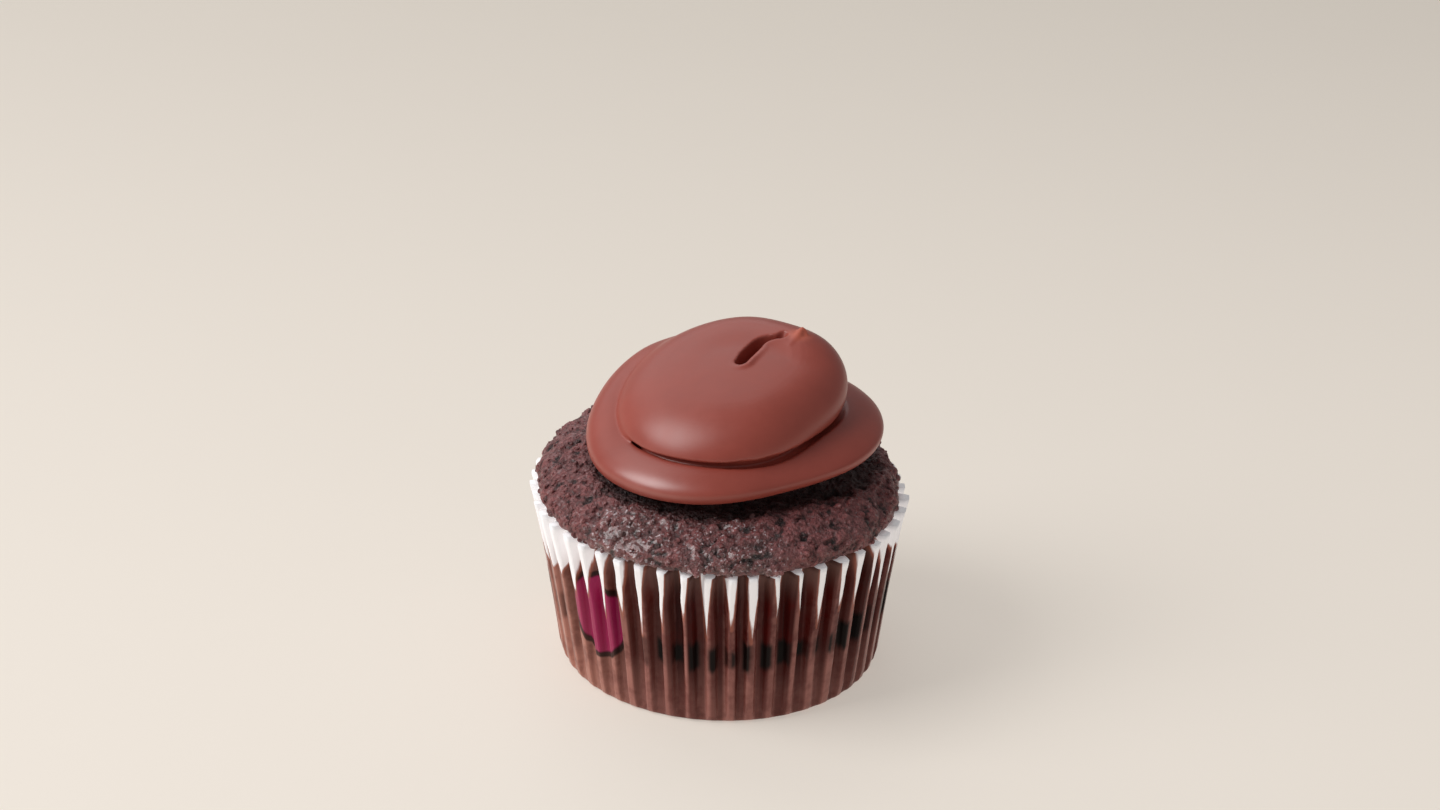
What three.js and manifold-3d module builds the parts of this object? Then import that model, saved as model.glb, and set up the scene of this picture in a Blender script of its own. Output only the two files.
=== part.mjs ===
// A chocolate cupcake: a dark cake baked in a pleated paper case, with a thick
// two-storey swirl of smooth chocolate icing. Millimetres, +Z up.
// The origin is the middle of the flat base. The cupcake's front is towards -Y.

import * as THREE from "three";
import { mergeVertices } from "three/addons/utils/BufferGeometryUtils.js";
import Module from "manifold-3d";

const wasm = await Module();
wasm.setup();

const TURN = 2 * Math.PI;
const degrees = THREE.MathUtils.degToRad;
const { lerp, smoothstep, clamp, euclideanModulo } = THREE.MathUtils;

// Driving dimensions.

// Air left between two pieces that touch.
const GAP = 0.3;

// The paper case: a disc of paper pressed into a cup, so its wall is gathered in pleats.
const CASE = {
  baseRadius: 28.2,
  rimRadius: 32.9,
  height: 31.3,
  paper: 0.36,
  heelRadius: 1.3,
  flare: 0.7,
  pleats: 50,
  columnsPerPleat: 4,
  pleatDepthAtHeel: 0.35,
  pleatDepthAtRim: 2.5,
};

// How unevenly the case is pressed: its pleats' spacing in radians, and their depth.
const PRESSING = { wander: 0.018, depthSpread: 0.18 };

// The rim of case and cake leans: how far it rises and falls, and where it is highest.
const LEAN = { height: 0.9, angle: degrees(130) };

// The cake: it fills the case, stands off the pleats near the rim, and domes above it.
const CAKE = {
  radiusAtBase: 27.0,
  radiusAtRim: 31.0,
  crownRadius: 31.4,
  crownStart: 31.9,
  crownHeight: 8.6,
  crownPower: 2.3,
  crumbRelief: 0.35,
  crumbSize: 3,
};

// The plan of case and cake is a little oval, longest from front right to back left.
const OVAL = { share: 0.024, angle: degrees(-45) };

// The lower storey of the icing: a rope of icing laid in a ring, higher on its right,
// flattened at its front right and sloping straighter there. A fullness of 2 gives a rope
// a true ellipse for its section, and more gives a flatter top.
const RING = {
  centre: new THREE.Vector2(2.9, -1.0),
  radius: 25.8,
  halfWidth: 7.2,
  halfHeight: 3.75,
  fullness: 2,
  middle: 42.0,
  tiltRight: 0.05,
  tiltBack: 0,
  flats: [{ angle: degrees(-64), depth: 3.3, spread: degrees(36) }],
  slope: { angle: degrees(-45), depth: 0.7, spread: degrees(55) },
};

// The upper storey: the rope wound shut into a round bun, flattened at its front right and
// at its back right.
const BUN = {
  centre: new THREE.Vector2(2.6, -0.9),
  radius: 20.3,
  halfWidth: 10,
  halfHeight: 5.4,
  fullness: 2.8,
  middle: 48.0,
  tiltRight: 0.115,
  tiltBack: 0.13,
  crown: 2.4,
  flats: [
    { angle: degrees(-38), depth: 2.1, spread: degrees(34) },
    { angle: degrees(52), depth: 1.9, spread: degrees(30) },
  ],
};

// The rope's climb from the ring to the bun: it rises round the back left, winding inwards
// as it goes, and has sunk into the bun again behind.
const CLIMB = {
  height: 7.6,
  inward: 0.8,
  starts: degrees(215),
  done: degrees(132),
  sinks: degrees(95),
  gone: degrees(50),
};

// The slit left where the rope's end meets its own start, as points in plan from the bun's
// middle to its edge, and how far the start stands proud of the end beside it.
const SLIT = { width: 2.3, depth: 4.5, taper: 1.5, step: 1.7, fade: degrees(150) };
const SLIT_ROUTE = [
  [3.9, -2.0],
  [5.0, 0.9],
  [6.9, 3.9],
  [9.6, 5.3],
  [12.9, 6.6],
];

// The tip that the nozzle pulled up just past the slit's outer end.
const TIP = { past: 1.4, radius: 2.0, height: 2.0, lean: degrees(30) };

// Shared helpers.

// Repeatable noise from 0 to 1 at a lattice point.
function latticeNoise(i, j, k) {
  const wave = Math.sin(i * 127.1 + j * 311.7 + k * 74.7) * 43758.5453;
  return wave - Math.floor(wave);
}

// Smooth noise from -1 to 1, blended between the lattice points round a place.
function smoothNoise(x, y, z) {
  const cell = [x, y, z].map(Math.floor);
  const [u, v, w] = [x, y, z].map((value, axis) => smoothstep(value - cell[axis], 0, 1));
  let sum = 0;
  for (const di of [0, 1])
    for (const dj of [0, 1])
      for (const dk of [0, 1]) {
        const share = (di ? u : 1 - u) * (dj ? v : 1 - v) * (dk ? w : 1 - w);
        sum += share * latticeNoise(cell[0] + di, cell[1] + dj, cell[2] + dk);
      }
  return 2 * sum - 1;
}

// How much wider or narrower the oval plan is at an angle.
function ovalAt(angle) {
  return 1 + OVAL.share * Math.cos(2 * (angle - OVAL.angle));
}

// How far the rim of case and cake is raised by its lean at an angle.
function leanAt(angle) {
  return LEAN.height * Math.cos(angle - LEAN.angle);
}

// A closed solid turned about Z from [radius, height] rows that start and end on the axis.
// shape(angle, radius, height, row) may move a point, and bend(angle) may turn a column.
function turned(rows, columns, shape, bend = (angle) => angle) {
  const outline = rows.map(([radius, height]) => new THREE.Vector2(radius, height));
  const geometry = new THREE.LatheGeometry(outline, columns);
  geometry.deleteAttribute("normal");
  geometry.deleteAttribute("uv");
  const place = geometry.getAttribute("position");
  for (let i = 0; i < place.count; i++) {
    const row = i % rows.length;
    const column = Math.floor(i / rows.length) % columns;
    const angle = (column / columns) * TURN;
    const [radius, height] = rows[row];
    const moved = radius === 0 ? [0, height] : shape(angle, radius, height, row);
    place.setXYZ(i, moved[0] * Math.cos(bend(angle)), moved[0] * Math.sin(bend(angle)), moved[1]);
  }
  return mergeVertices(geometry, 1e-4);
}

// A three.js geometry as a solid for joining and cutting.
function solidOf(geometry) {
  const bare = geometry.clone();
  bare.deleteAttribute("normal");
  bare.deleteAttribute("uv");
  const merged = mergeVertices(bare, 1e-4);
  return new wasm.Manifold(
    new wasm.Mesh({
      numProp: 3,
      vertProperties: merged.getAttribute("position").array,
      triVerts: new Uint32Array(merged.index.array),
    }),
  );
}

// A joined or cut solid as a three.js geometry.
function geometryOf(solid) {
  const mesh = solid.getMesh();
  return new THREE.BufferGeometry()
    .setAttribute("position", new THREE.BufferAttribute(mesh.vertProperties, 3))
    .setIndex(new THREE.BufferAttribute(mesh.triVerts, 1));
}

// The paper case.

// Where a column of the pleated wall really stands, as the pleats are spaced unevenly.
function pressedAngle(angle) {
  return angle + PRESSING.wander * (Math.sin(3 * angle + 1) + 0.6 * Math.sin(8 * angle + 2));
}

// Radius of the pleats' crests at a height: a straight taper that flares at the rim.
function crestRadius(height) {
  const share = clamp(height / CASE.height, 0, 1);
  return lerp(CASE.baseRadius, CASE.rimRadius - CASE.flare, share) + CASE.flare * share ** 4;
}

function pleatDepth(angle, height) {
  const share = clamp(height / CASE.height, 0, 1);
  const spread = 1 + PRESSING.depthSpread * Math.sin(5 * angle + 2) * Math.sin(11 * angle);
  return lerp(CASE.pleatDepthAtHeel, CASE.pleatDepthAtRim * spread, share);
}

// How far into a pleat's valley an angle is: 0 on a crest and 1 in a valley.
function valleyShare(angle) {
  const phase = (angle / TURN) * CASE.pleats;
  const fromCrest = Math.abs(phase - Math.round(phase)) * 2;
  return smoothstep(fromCrest, 0.3, 0.75);
}

// Radius of the paper's outer face.
function paperRadius(angle, height) {
  return (crestRadius(height) - pleatDepth(angle, height) * valleyShare(angle)) * ovalAt(angle);
}

function makeCase() {
  const { baseRadius, height, paper, heelRadius, pleats, columnsPerPleat } = CASE;
  const footRadius = baseRadius - heelRadius;
  const wallHeights = [0.5, 0.85, 1].map((share) => share * height);
  const heel = [45, 90].map((degree) => {
    const turn = degrees(degree);
    return [footRadius + heelRadius * Math.sin(turn), heelRadius * (1 - Math.cos(turn))];
  });
  const outside = [[footRadius, 0], ...heel, ...wallHeights.map((z) => [baseRadius, z])];
  const inside = [...wallHeights.toReversed(), heelRadius].map((z) => [baseRadius - paper, z]);
  const rows = [[0, 0], ...outside, ...inside, [footRadius, paper], [0, paper]];
  const firstInside = 1 + outside.length;
  const shape = (angle, radius, z, row) => {
    if (z <= paper) return [radius * ovalAt(angle), z];
    const skin = row >= firstInside ? paper : 0;
    const raised = z + leanAt(angle) * (z / height) ** 2;
    if (z >= heelRadius) return [paperRadius(angle, z) - skin, raised];
    const pleat = pleatDepth(angle, z) * valleyShare(angle) * (z / heelRadius);
    return [radius * ovalAt(angle) - pleat, raised];
  };
  return turned(rows, pleats * columnsPerPleat, shape, pressedAngle);
}

// The cake.

// Radius of the cake's side in the case: it fills the pleats as far as its own girth allows.
function cakeSide(angle, height) {
  const girth = lerp(CAKE.radiusAtBase, CAKE.radiusAtRim, height / CASE.height);
  return Math.min(girth * ovalAt(angle), paperRadius(angle, height) - CASE.paper - GAP);
}

// Height of the smooth crown over the rim at a distance from the axis.
function crownHeight(radius) {
  const share = clamp(radius / CAKE.crownRadius, 0, 1);
  const rise = (1 - share ** CAKE.crownPower) ** (1 / CAKE.crownPower);
  return CAKE.crownStart + CAKE.crownHeight * rise;
}

// Height of the crumb's lumps and pits at a place on the crown.
function crumb(x, y, z) {
  const sizes = [CAKE.crumbSize, 3 * CAKE.crumbSize];
  const lumps = sizes.map((size) => smoothNoise(x / size, y / size, z / size));
  return CAKE.crumbRelief * (lumps[0] + lumps[1]);
}

// The crown leans with the rim, and its lumps fade out where it meets the paper.
function crownPoint(angle, radius, height) {
  const plan = radius * ovalAt(angle);
  const out = radius / CAKE.crownRadius;
  const lump = crumb(plan * Math.cos(angle), plan * Math.sin(angle), height);
  const above = smoothstep(height, CAKE.crownStart, CAKE.crownStart + 2);
  return [plan + lump * out ** 4, height + lump * above + leanAt(angle) * out ** 2];
}

function makeCake() {
  const floor = CASE.paper + GAP;
  const foot = CASE.baseRadius - CASE.heelRadius - GAP;
  const sideShares = [0.5, 0.85, 1];
  const crownShares = [1, 0.985, 0.94, 0.87, 0.77, 0.64, 0.42];
  const sideHeights = [CASE.heelRadius, ...sideShares.map((share) => share * CASE.height)];
  const side = sideHeights.map((z) => [CAKE.radiusAtBase, z]);
  const crown = crownShares.map((share) => {
    const radius = share * CAKE.crownRadius;
    return [radius, crownHeight(radius)];
  });
  const rows = [[0, floor], [foot, floor], ...side, ...crown, [0, crownHeight(0)]];
  const shape = (angle, radius, z) => {
    if (z === floor) return [radius * ovalAt(angle), z];
    if (z > CASE.height) return crownPoint(angle, radius, z);
    return [cakeSide(angle, z), z + leanAt(angle) * (z / CASE.height) ** 2];
  };
  return turned(rows, CASE.pleats * CASE.columnsPerPleat, shape, pressedAngle);
}

// The icing.

// A rope's section from its lowest point round the outside, past its highest by some steps.
function ropeOutline({ radius, halfWidth, halfHeight, fullness }, stepsPast = 0, stepsUp = 12) {
  return Array.from({ length: stepsUp + stepsPast + 1 }, (_, i) => {
    const turn = Math.PI * (i / stepsUp - 0.5);
    const out = Math.cos(turn);
    const reach = halfWidth * Math.sign(out) * Math.abs(out) ** (2 / fullness);
    return [radius - halfWidth + reach, halfHeight * Math.sin(turn)];
  });
}

// How far a height is up a storey's rope: 0 at its underside and 1 at its top.
function shareUp({ halfHeight }, height) {
  return (height + halfHeight) / (2 * halfHeight);
}

// Height of a leaning storey's middle at a place in plan.
function leaningMiddle({ centre, middle, tiltRight, tiltBack }, x, y) {
  return middle + tiltRight * (x - centre.x) + tiltBack * (y - centre.y);
}

// Moves a turned storey to its centre, and leans it.
function placed(geometry, storey) {
  geometry.translate(storey.centre.x, storey.centre.y, 0);
  const place = geometry.getAttribute("position");
  for (let i = 0; i < place.count; i++)
    place.setZ(i, place.getZ(i) + leaningMiddle(storey, place.getX(i), place.getY(i)));
  return geometry;
}

// How deep a flattened place is at an angle: most in its middle.
function flatDepth(flat, angle) {
  const off = euclideanModulo(angle - flat.angle + TURN / 2, TURN) - TURN / 2;
  return flat.depth * Math.exp(-((off / flat.spread) ** 2));
}

// How much of its full radius a storey has at an angle: less over its flats.
function planShare({ flats, radius }, angle) {
  const lost = flats.reduce((sum, flat) => sum + flatDepth(flat, angle), 0);
  return 1 - lost / radius;
}

// Height of the ring's section once its rounded outer shoulder has slumped to a straight slope.
function slumped(angle, radius, height) {
  const { halfWidth, halfHeight, slope } = RING;
  if (height <= 0 || radius < RING.radius - halfWidth) return height;
  const level = clamp(height / halfHeight, 0, 1);
  const straight = halfHeight * (1 - Math.sqrt(1 - level ** 2));
  return lerp(height, straight, flatDepth(slope, angle));
}

// How far the rope has climbed at an angle round the ring.
function climbShare(angle) {
  const rises = 1 - smoothstep(angle, CLIMB.done, CLIMB.starts);
  return rises * smoothstep(angle, CLIMB.gone, CLIMB.sinks);
}

// The ring, its middle filled where the bun covers it, and its top raised by the climb.
function makeRing() {
  const outline = ropeOutline(RING, 3);
  const rows = [[0, -RING.halfHeight], ...outline, [0, outline.at(-1)[1]]];
  const shape = (angle, radius, height) => {
    const climb = climbShare(angle) * shareUp(RING, height);
    const reach = radius * planShare(RING, angle) - CLIMB.inward * climb;
    return [reach, slumped(angle, radius, height) + CLIMB.height * climb];
  };
  return placed(turned(rows, 64, shape), RING);
}

// How proud the rope's start stands at an angle round the bun: most just past the slit.
function proudShare(angle) {
  const [x, y] = SLIT_ROUTE.at(-1);
  const seam = Math.atan2(y - BUN.centre.y, x - BUN.centre.x);
  const past = euclideanModulo(angle - seam, TURN);
  return 1 - smoothstep(past, 0, SLIT.fade);
}

// The bun: a rounded edge, and a top that swells towards the middle.
function makeBun() {
  const { radius, halfWidth, halfHeight, crown } = BUN;
  const flat = radius - halfWidth;
  const top = [0.66, 0.33].map((share) => [flat * share, halfHeight]);
  const rows = [[0, -halfHeight], ...ropeOutline(BUN), ...top, [0, halfHeight + crown]];
  const shape = (angle, reach, height) => {
    const out = reach / radius;
    const proud = SLIT.step * proudShare(angle) * smoothstep(out, 0.2, 0.7);
    const raised = height + shareUp(BUN, height) * (crown * (1 - out ** 2) + proud);
    return [reach * planShare(BUN, angle), raised];
  };
  return placed(turned(rows, 64, shape), BUN);
}

// A leaf-shaped shaft that is widest at the bun's middle and closes at its edge.
function makeSlit() {
  const route = new THREE.CatmullRomCurve3(SLIT_ROUTE.map(([x, y]) => new THREE.Vector3(x, y, 0)));
  const shares = Array.from({ length: 11 }, (_, i) => i / 10);
  const edge = (side) => (share) => {
    const along = route.getTangentAt(share);
    const half = (side * SLIT.width * (1 - share ** SLIT.taper)) / 2;
    return route.getPointAt(share).add(new THREE.Vector3(-along.y, along.x, 0).multiplyScalar(half));
  };
  const outline = [...shares.map(edge(-1)), ...shares.slice(0, -1).toReversed().map(edge(1))];
  const leaf = new THREE.Shape(outline.map(({ x, y }) => new THREE.Vector2(x, y)));
  const top = BUN.middle + BUN.halfHeight + BUN.crown;
  const shaft = new THREE.ExtrudeGeometry(leaf, { depth: 3 * SLIT.depth, bevelEnabled: false });
  return shaft.translate(0, 0, top - SLIT.depth);
}

function makeTip() {
  const { past, radius, height, lean } = TIP;
  const [x, y] = SLIT_ROUTE.at(-1);
  const rows = [[0, -radius], [radius, 0], [0.7 * radius, 0.45 * height], [0, height]];
  const tip = turned(rows, 10, (angle, reach, z) => [reach, z]);
  const top = leaningMiddle(BUN, x, y) + BUN.halfHeight + SLIT.step / 2;
  return tip.rotateY(lean).translate(x + past, y, top);
}

// The space that the cake's crown takes out of the icing's underside.
function makeCrownSpace() {
  const clearance = GAP + 2 * CAKE.crumbRelief;
  const rows = [[0, 0], [CAKE.crownRadius, 0]];
  for (const share of [1, 0.97, 0.9, 0.8, 0.65, 0.45]) {
    const radius = share * CAKE.crownRadius;
    rows.push([radius, crownHeight(radius) + clearance]);
  }
  rows.push([0, crownHeight(0) + clearance]);
  const shape = (angle, radius, height) => {
    const lean = leanAt(angle) * (radius / CAKE.crownRadius) ** 2;
    return [radius * ovalAt(angle), height + lean];
  };
  return turned(rows, 56, shape);
}

function makeIcing() {
  const storeys = [makeRing(), makeBun(), makeTip()].map(solidOf);
  const wound = storeys.reduce((sum, solid) => sum.add(solid));
  return geometryOf(wound.subtract(solidOf(makeSlit())).subtract(solidOf(makeCrownSpace())));
}

// The pieces, each with its own colour.

function piece(name, geometry, colour, roughness) {
  const material = new THREE.MeshStandardMaterial({ color: colour, roughness, metalness: 0 });
  const mesh = new THREE.Mesh(geometry, material);
  mesh.name = name;
  return mesh;
}

const cupcake = new THREE.Group();
cupcake.add(
  piece("paper_case", makeCase(), 0xe9e2dc, 0.75),
  piece("cake", makeCake(), 0x3b2220, 0.7),
  piece("icing", makeIcing(), 0x8c4f47, 0.4),
);

export default cupcake;
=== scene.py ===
"""A chocolate cupcake in a pleated paper case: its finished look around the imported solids.

Sizes in the classes are in millimetres and angles in degrees, as a baker would note them.
Meshes are in metres, in the solids' own frame: +Z up, the front towards -Y.
"""

import logging
import math
from dataclasses import dataclass, field
from enum import Enum
from typing import Callable, Sequence

import bpy
import numpy as np
from mathutils import Matrix, Vector


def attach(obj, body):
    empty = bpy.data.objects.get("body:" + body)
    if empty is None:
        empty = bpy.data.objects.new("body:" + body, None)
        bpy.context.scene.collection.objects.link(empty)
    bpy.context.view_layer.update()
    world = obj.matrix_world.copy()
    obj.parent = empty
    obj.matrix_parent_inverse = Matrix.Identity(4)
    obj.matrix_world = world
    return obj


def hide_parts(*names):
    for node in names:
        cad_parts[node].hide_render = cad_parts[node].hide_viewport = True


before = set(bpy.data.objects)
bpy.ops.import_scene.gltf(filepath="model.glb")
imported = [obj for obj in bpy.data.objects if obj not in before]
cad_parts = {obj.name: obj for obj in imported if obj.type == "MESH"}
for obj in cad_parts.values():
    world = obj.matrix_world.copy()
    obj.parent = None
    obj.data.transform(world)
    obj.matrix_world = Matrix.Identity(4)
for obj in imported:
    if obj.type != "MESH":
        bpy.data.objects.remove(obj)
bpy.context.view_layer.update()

log = logging.getLogger("cupcake")
logging.basicConfig(level=logging.INFO, format="%(name)s: %(message)s")

MM = 0.001
TURN = 2 * math.pi
# Width of the camera's film, in millimetres.
SENSOR_WIDTH = 36.0
# What keeps apart the random values of two seeds, and the two values of one pleat.
SEED_STEP = 57.31
SECOND_CHANCE = 131.0
# The least radius in millimetres, so that the points of a row never fall together.
LEAST_RADIUS = 0.001

Colour = tuple[float, float, float, float]
Form = tuple[np.ndarray, list[tuple[int, ...]]]


class Side(Enum):
    """Which skin of the paper a point belongs to."""

    OUTSIDE = 0.0
    INSIDE = 1.0


def srgb(red: float, green: float, blue: float) -> Colour:
    """A colour in the linear values that Blender takes.

    Args:
        red: Its red as a screen value, from 0 to 255.
        green: Its green.
        blue: Its blue.

    Returns:
        The linear colour, opaque.
    """

    def linear(value: float) -> float:
        """One value on the sRGB curve, which is straight near black and a power above."""
        share = value / 255
        return share / 12.92 if share <= 0.04045 else ((share + 0.055) / 1.055) ** 2.4

    return (linear(red), linear(green), linear(blue), 1.0)


def smoothstep(value: np.ndarray, low: float, high: float) -> np.ndarray:
    """Eases from 0 at low to 1 at high, as the solids' own rules do."""
    share = np.clip((value - low) / (high - low), 0.0, 1.0)
    return share * share * (3 - 2 * share)


def through(points: Sequence[Sequence[float]], steps: int) -> np.ndarray:
    """A smooth route through given points.

    Args:
        points: The points, in their order.
        steps: How many points of the route lie in each of its legs.

    Returns:
        The route's points.
    """
    given = np.array(points, dtype=float)
    knots = np.vstack([2 * given[0] - given[1], given, 2 * given[-1] - given[-2]])
    share = np.linspace(0, 1, steps, endpoint=False)[:, None]
    legs = []
    for before, start, end, after in zip(knots, knots[1:], knots[2:], knots[3:]):
        bend = 2 * before - 5 * start + 4 * end - after
        twist = 3 * start - before - 3 * end + after
        legs.append(start + 0.5 * ((end - before) * share + bend * share**2 + twist * share**3))
    return np.vstack([*legs, given[-1:]])


# Node trees written as formulas.


class Formula:
    """A value that varies over a surface. Arithmetic on it adds Math nodes to its tree."""

    def __init__(self, tree: bpy.types.NodeTree, socket: bpy.types.NodeSocket) -> None:
        """Keeps the tree and the socket that the value comes out of."""
        self.tree = tree
        self.socket = socket

    def math(self, operation: str, *others: "Entry") -> "Formula":
        """Adds a Math node, with this value first.

        Args:
            operation: Blender's name for what it works out.
            others: Its other values.

        Returns:
            What comes out of it.
        """
        node = self.tree.nodes.new("ShaderNodeMath")
        node.operation = operation
        for entry, value in zip(node.inputs, (self, *others)):
            feed(entry, value)
        return Formula(self.tree, node.outputs["Value"])

    def __add__(self, other: "Entry") -> "Formula":
        """Sum."""
        return self.math("ADD", other)

    __radd__ = __add__

    def __sub__(self, other: "Entry") -> "Formula":
        """Difference."""
        return self.math("SUBTRACT", other)

    def __rsub__(self, other: float) -> "Formula":
        """Difference from a plain number."""
        return self * -1.0 + other

    def __mul__(self, other: "Entry") -> "Formula":
        """Product."""
        return self.math("MULTIPLY", other)

    __rmul__ = __mul__

    def __truediv__(self, other: "Entry") -> "Formula":
        """Quotient."""
        return self.math("DIVIDE", other)

    def __pow__(self, other: "Entry") -> "Formula":
        """Power."""
        return self.math("POWER", other)

    def sine(self) -> "Formula":
        """Sine of an angle in radians."""
        return self.math("SINE")

    def cosine(self) -> "Formula":
        """Cosine of an angle in radians."""
        return self.math("COSINE")

    def absolute(self) -> "Formula":
        """Size without sign."""
        return self.math("ABSOLUTE")

    def least(self, other: "Entry") -> "Formula":
        """The smaller of two values."""
        return self.math("MINIMUM", other)

    def most(self, other: "Entry") -> "Formula":
        """The larger of two values."""
        return self.math("MAXIMUM", other)

    def inverse(self) -> "Formula":
        """What this share leaves of 1."""
        return self * -1.0 + 1.0

    def eased(
        self, start: "Entry", end: "Entry", low: "Entry" = 0.0, high: "Entry" = 1.0
    ) -> "Formula":
        """Eases from low to high while this value goes from start to end.

        Args:
            start: Value where the result is still low.
            end: Value where the result has reached high.
            low: Result before start.
            high: Result after end.

        Returns:
            The eased value, which stays between low and high.
        """
        node = self.tree.nodes.new("ShaderNodeMapRange")
        node.interpolation_type = "SMOOTHSTEP"
        names = ("Value", "From Min", "From Max", "To Min", "To Max")
        for name, value in zip(names, (self, start, end, low, high)):
            feed(node.inputs[name], value)
        return Formula(self.tree, node.outputs["Result"])


Entry = Formula | float | int | tuple
Axes = tuple[Formula, Formula, Formula]


def feed(entry: bpy.types.NodeSocket, value: Entry) -> None:
    """Links a formula to a node's entry, or writes a plain value on it.

    Args:
        entry: The entry.
        value: The formula or the plain value.
    """
    if isinstance(value, Formula):
        value.tree.links.new(value.socket, entry)
    else:
        entry.default_value = value


class Canvas:
    """A node tree that is written as formulas."""

    def __init__(self, tree: bpy.types.NodeTree) -> None:
        """Keeps the tree."""
        self.tree = tree

    def node(
        self, kind: str, settings: dict | None = None, entries: dict | None = None
    ) -> bpy.types.Node:
        """Adds a node.

        Args:
            kind: Blender's name for the kind of node.
            settings: Values of the node's own properties.
            entries: Values or formulas for its inputs, by their names or numbers.

        Returns:
            The new node.
        """
        node = self.tree.nodes.new(kind)
        for name, value in (settings or {}).items():
            setattr(node, name, value)
        for name, value in (entries or {}).items():
            feed(node.inputs[name], value)
        return node

    def result(self, node: bpy.types.Node, output: str | int = 0) -> Formula:
        """What comes out of a node, as a formula."""
        return Formula(self.tree, node.outputs[output])

    def axes(self, vector: Formula) -> Axes:
        """A vector's three parts."""
        node = self.node("ShaderNodeSeparateXYZ", entries={"Vector": vector})
        return tuple(self.result(node, axis) for axis in "XYZ")

    def vector(self, x: Entry, y: Entry, z: Entry) -> Formula:
        """A vector of three parts."""
        return self.result(self.node("ShaderNodeCombineXYZ", entries={"X": x, "Y": y, "Z": z}))

    def noise(self, place: Formula, size: float, detail: float = 2.0, seed: Entry = 0.0) -> Formula:
        """Soft noise from about -1 to 1.

        Args:
            place: Where the noise is read, in metres.
            size: Size of its largest lumps, in millimetres.
            detail: How many finer octaves are laid over them.
            seed: Picks another pattern of the same kind.

        Returns:
            The noise.
        """
        entries = {"Vector": place, "W": seed, "Scale": 1 / (size * MM), "Detail": detail}
        node = self.node("ShaderNodeTexNoise", {"noise_dimensions": "4D"}, entries)
        return self.result(node, "Fac") * 2.0 - 1.0

    def cells(self, place: Formula, size: float, seed: Entry = 0.0) -> Formula:
        """Distance from the middle of the nearest cell, in cell sizes and eased between cells.

        Args:
            place: Where the pattern is read, in metres.
            size: Size of a cell, in millimetres.
            seed: Picks another pattern of the same kind.

        Returns:
            The distance, from 0 to about 1.
        """
        settings = {"voronoi_dimensions": "4D", "feature": "SMOOTH_F1"}
        entries = {"Vector": place, "W": seed, "Scale": 1 / (size * MM)}
        return self.result(self.node("ShaderNodeTexVoronoi", settings, entries), "Distance")

    def chance(self, number: Formula, seed: float) -> Formula:
        """A fixed random value for each whole number.

        Args:
            number: The whole number.
            seed: Picks another set of values.

        Returns:
            The value, from 0 to 1.
        """
        settings = {"noise_dimensions": "1D"}
        node = self.node("ShaderNodeTexWhiteNoise", settings, {"W": number + seed * SEED_STEP})
        return self.result(node, "Value")

    def scaled(self, vector: Formula, factor: Formula) -> Formula:
        """A vector made longer or shorter."""
        entries = {"Vector": vector, "Scale": factor}
        return self.result(self.node("ShaderNodeVectorMath", {"operation": "SCALE"}, entries))


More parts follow.
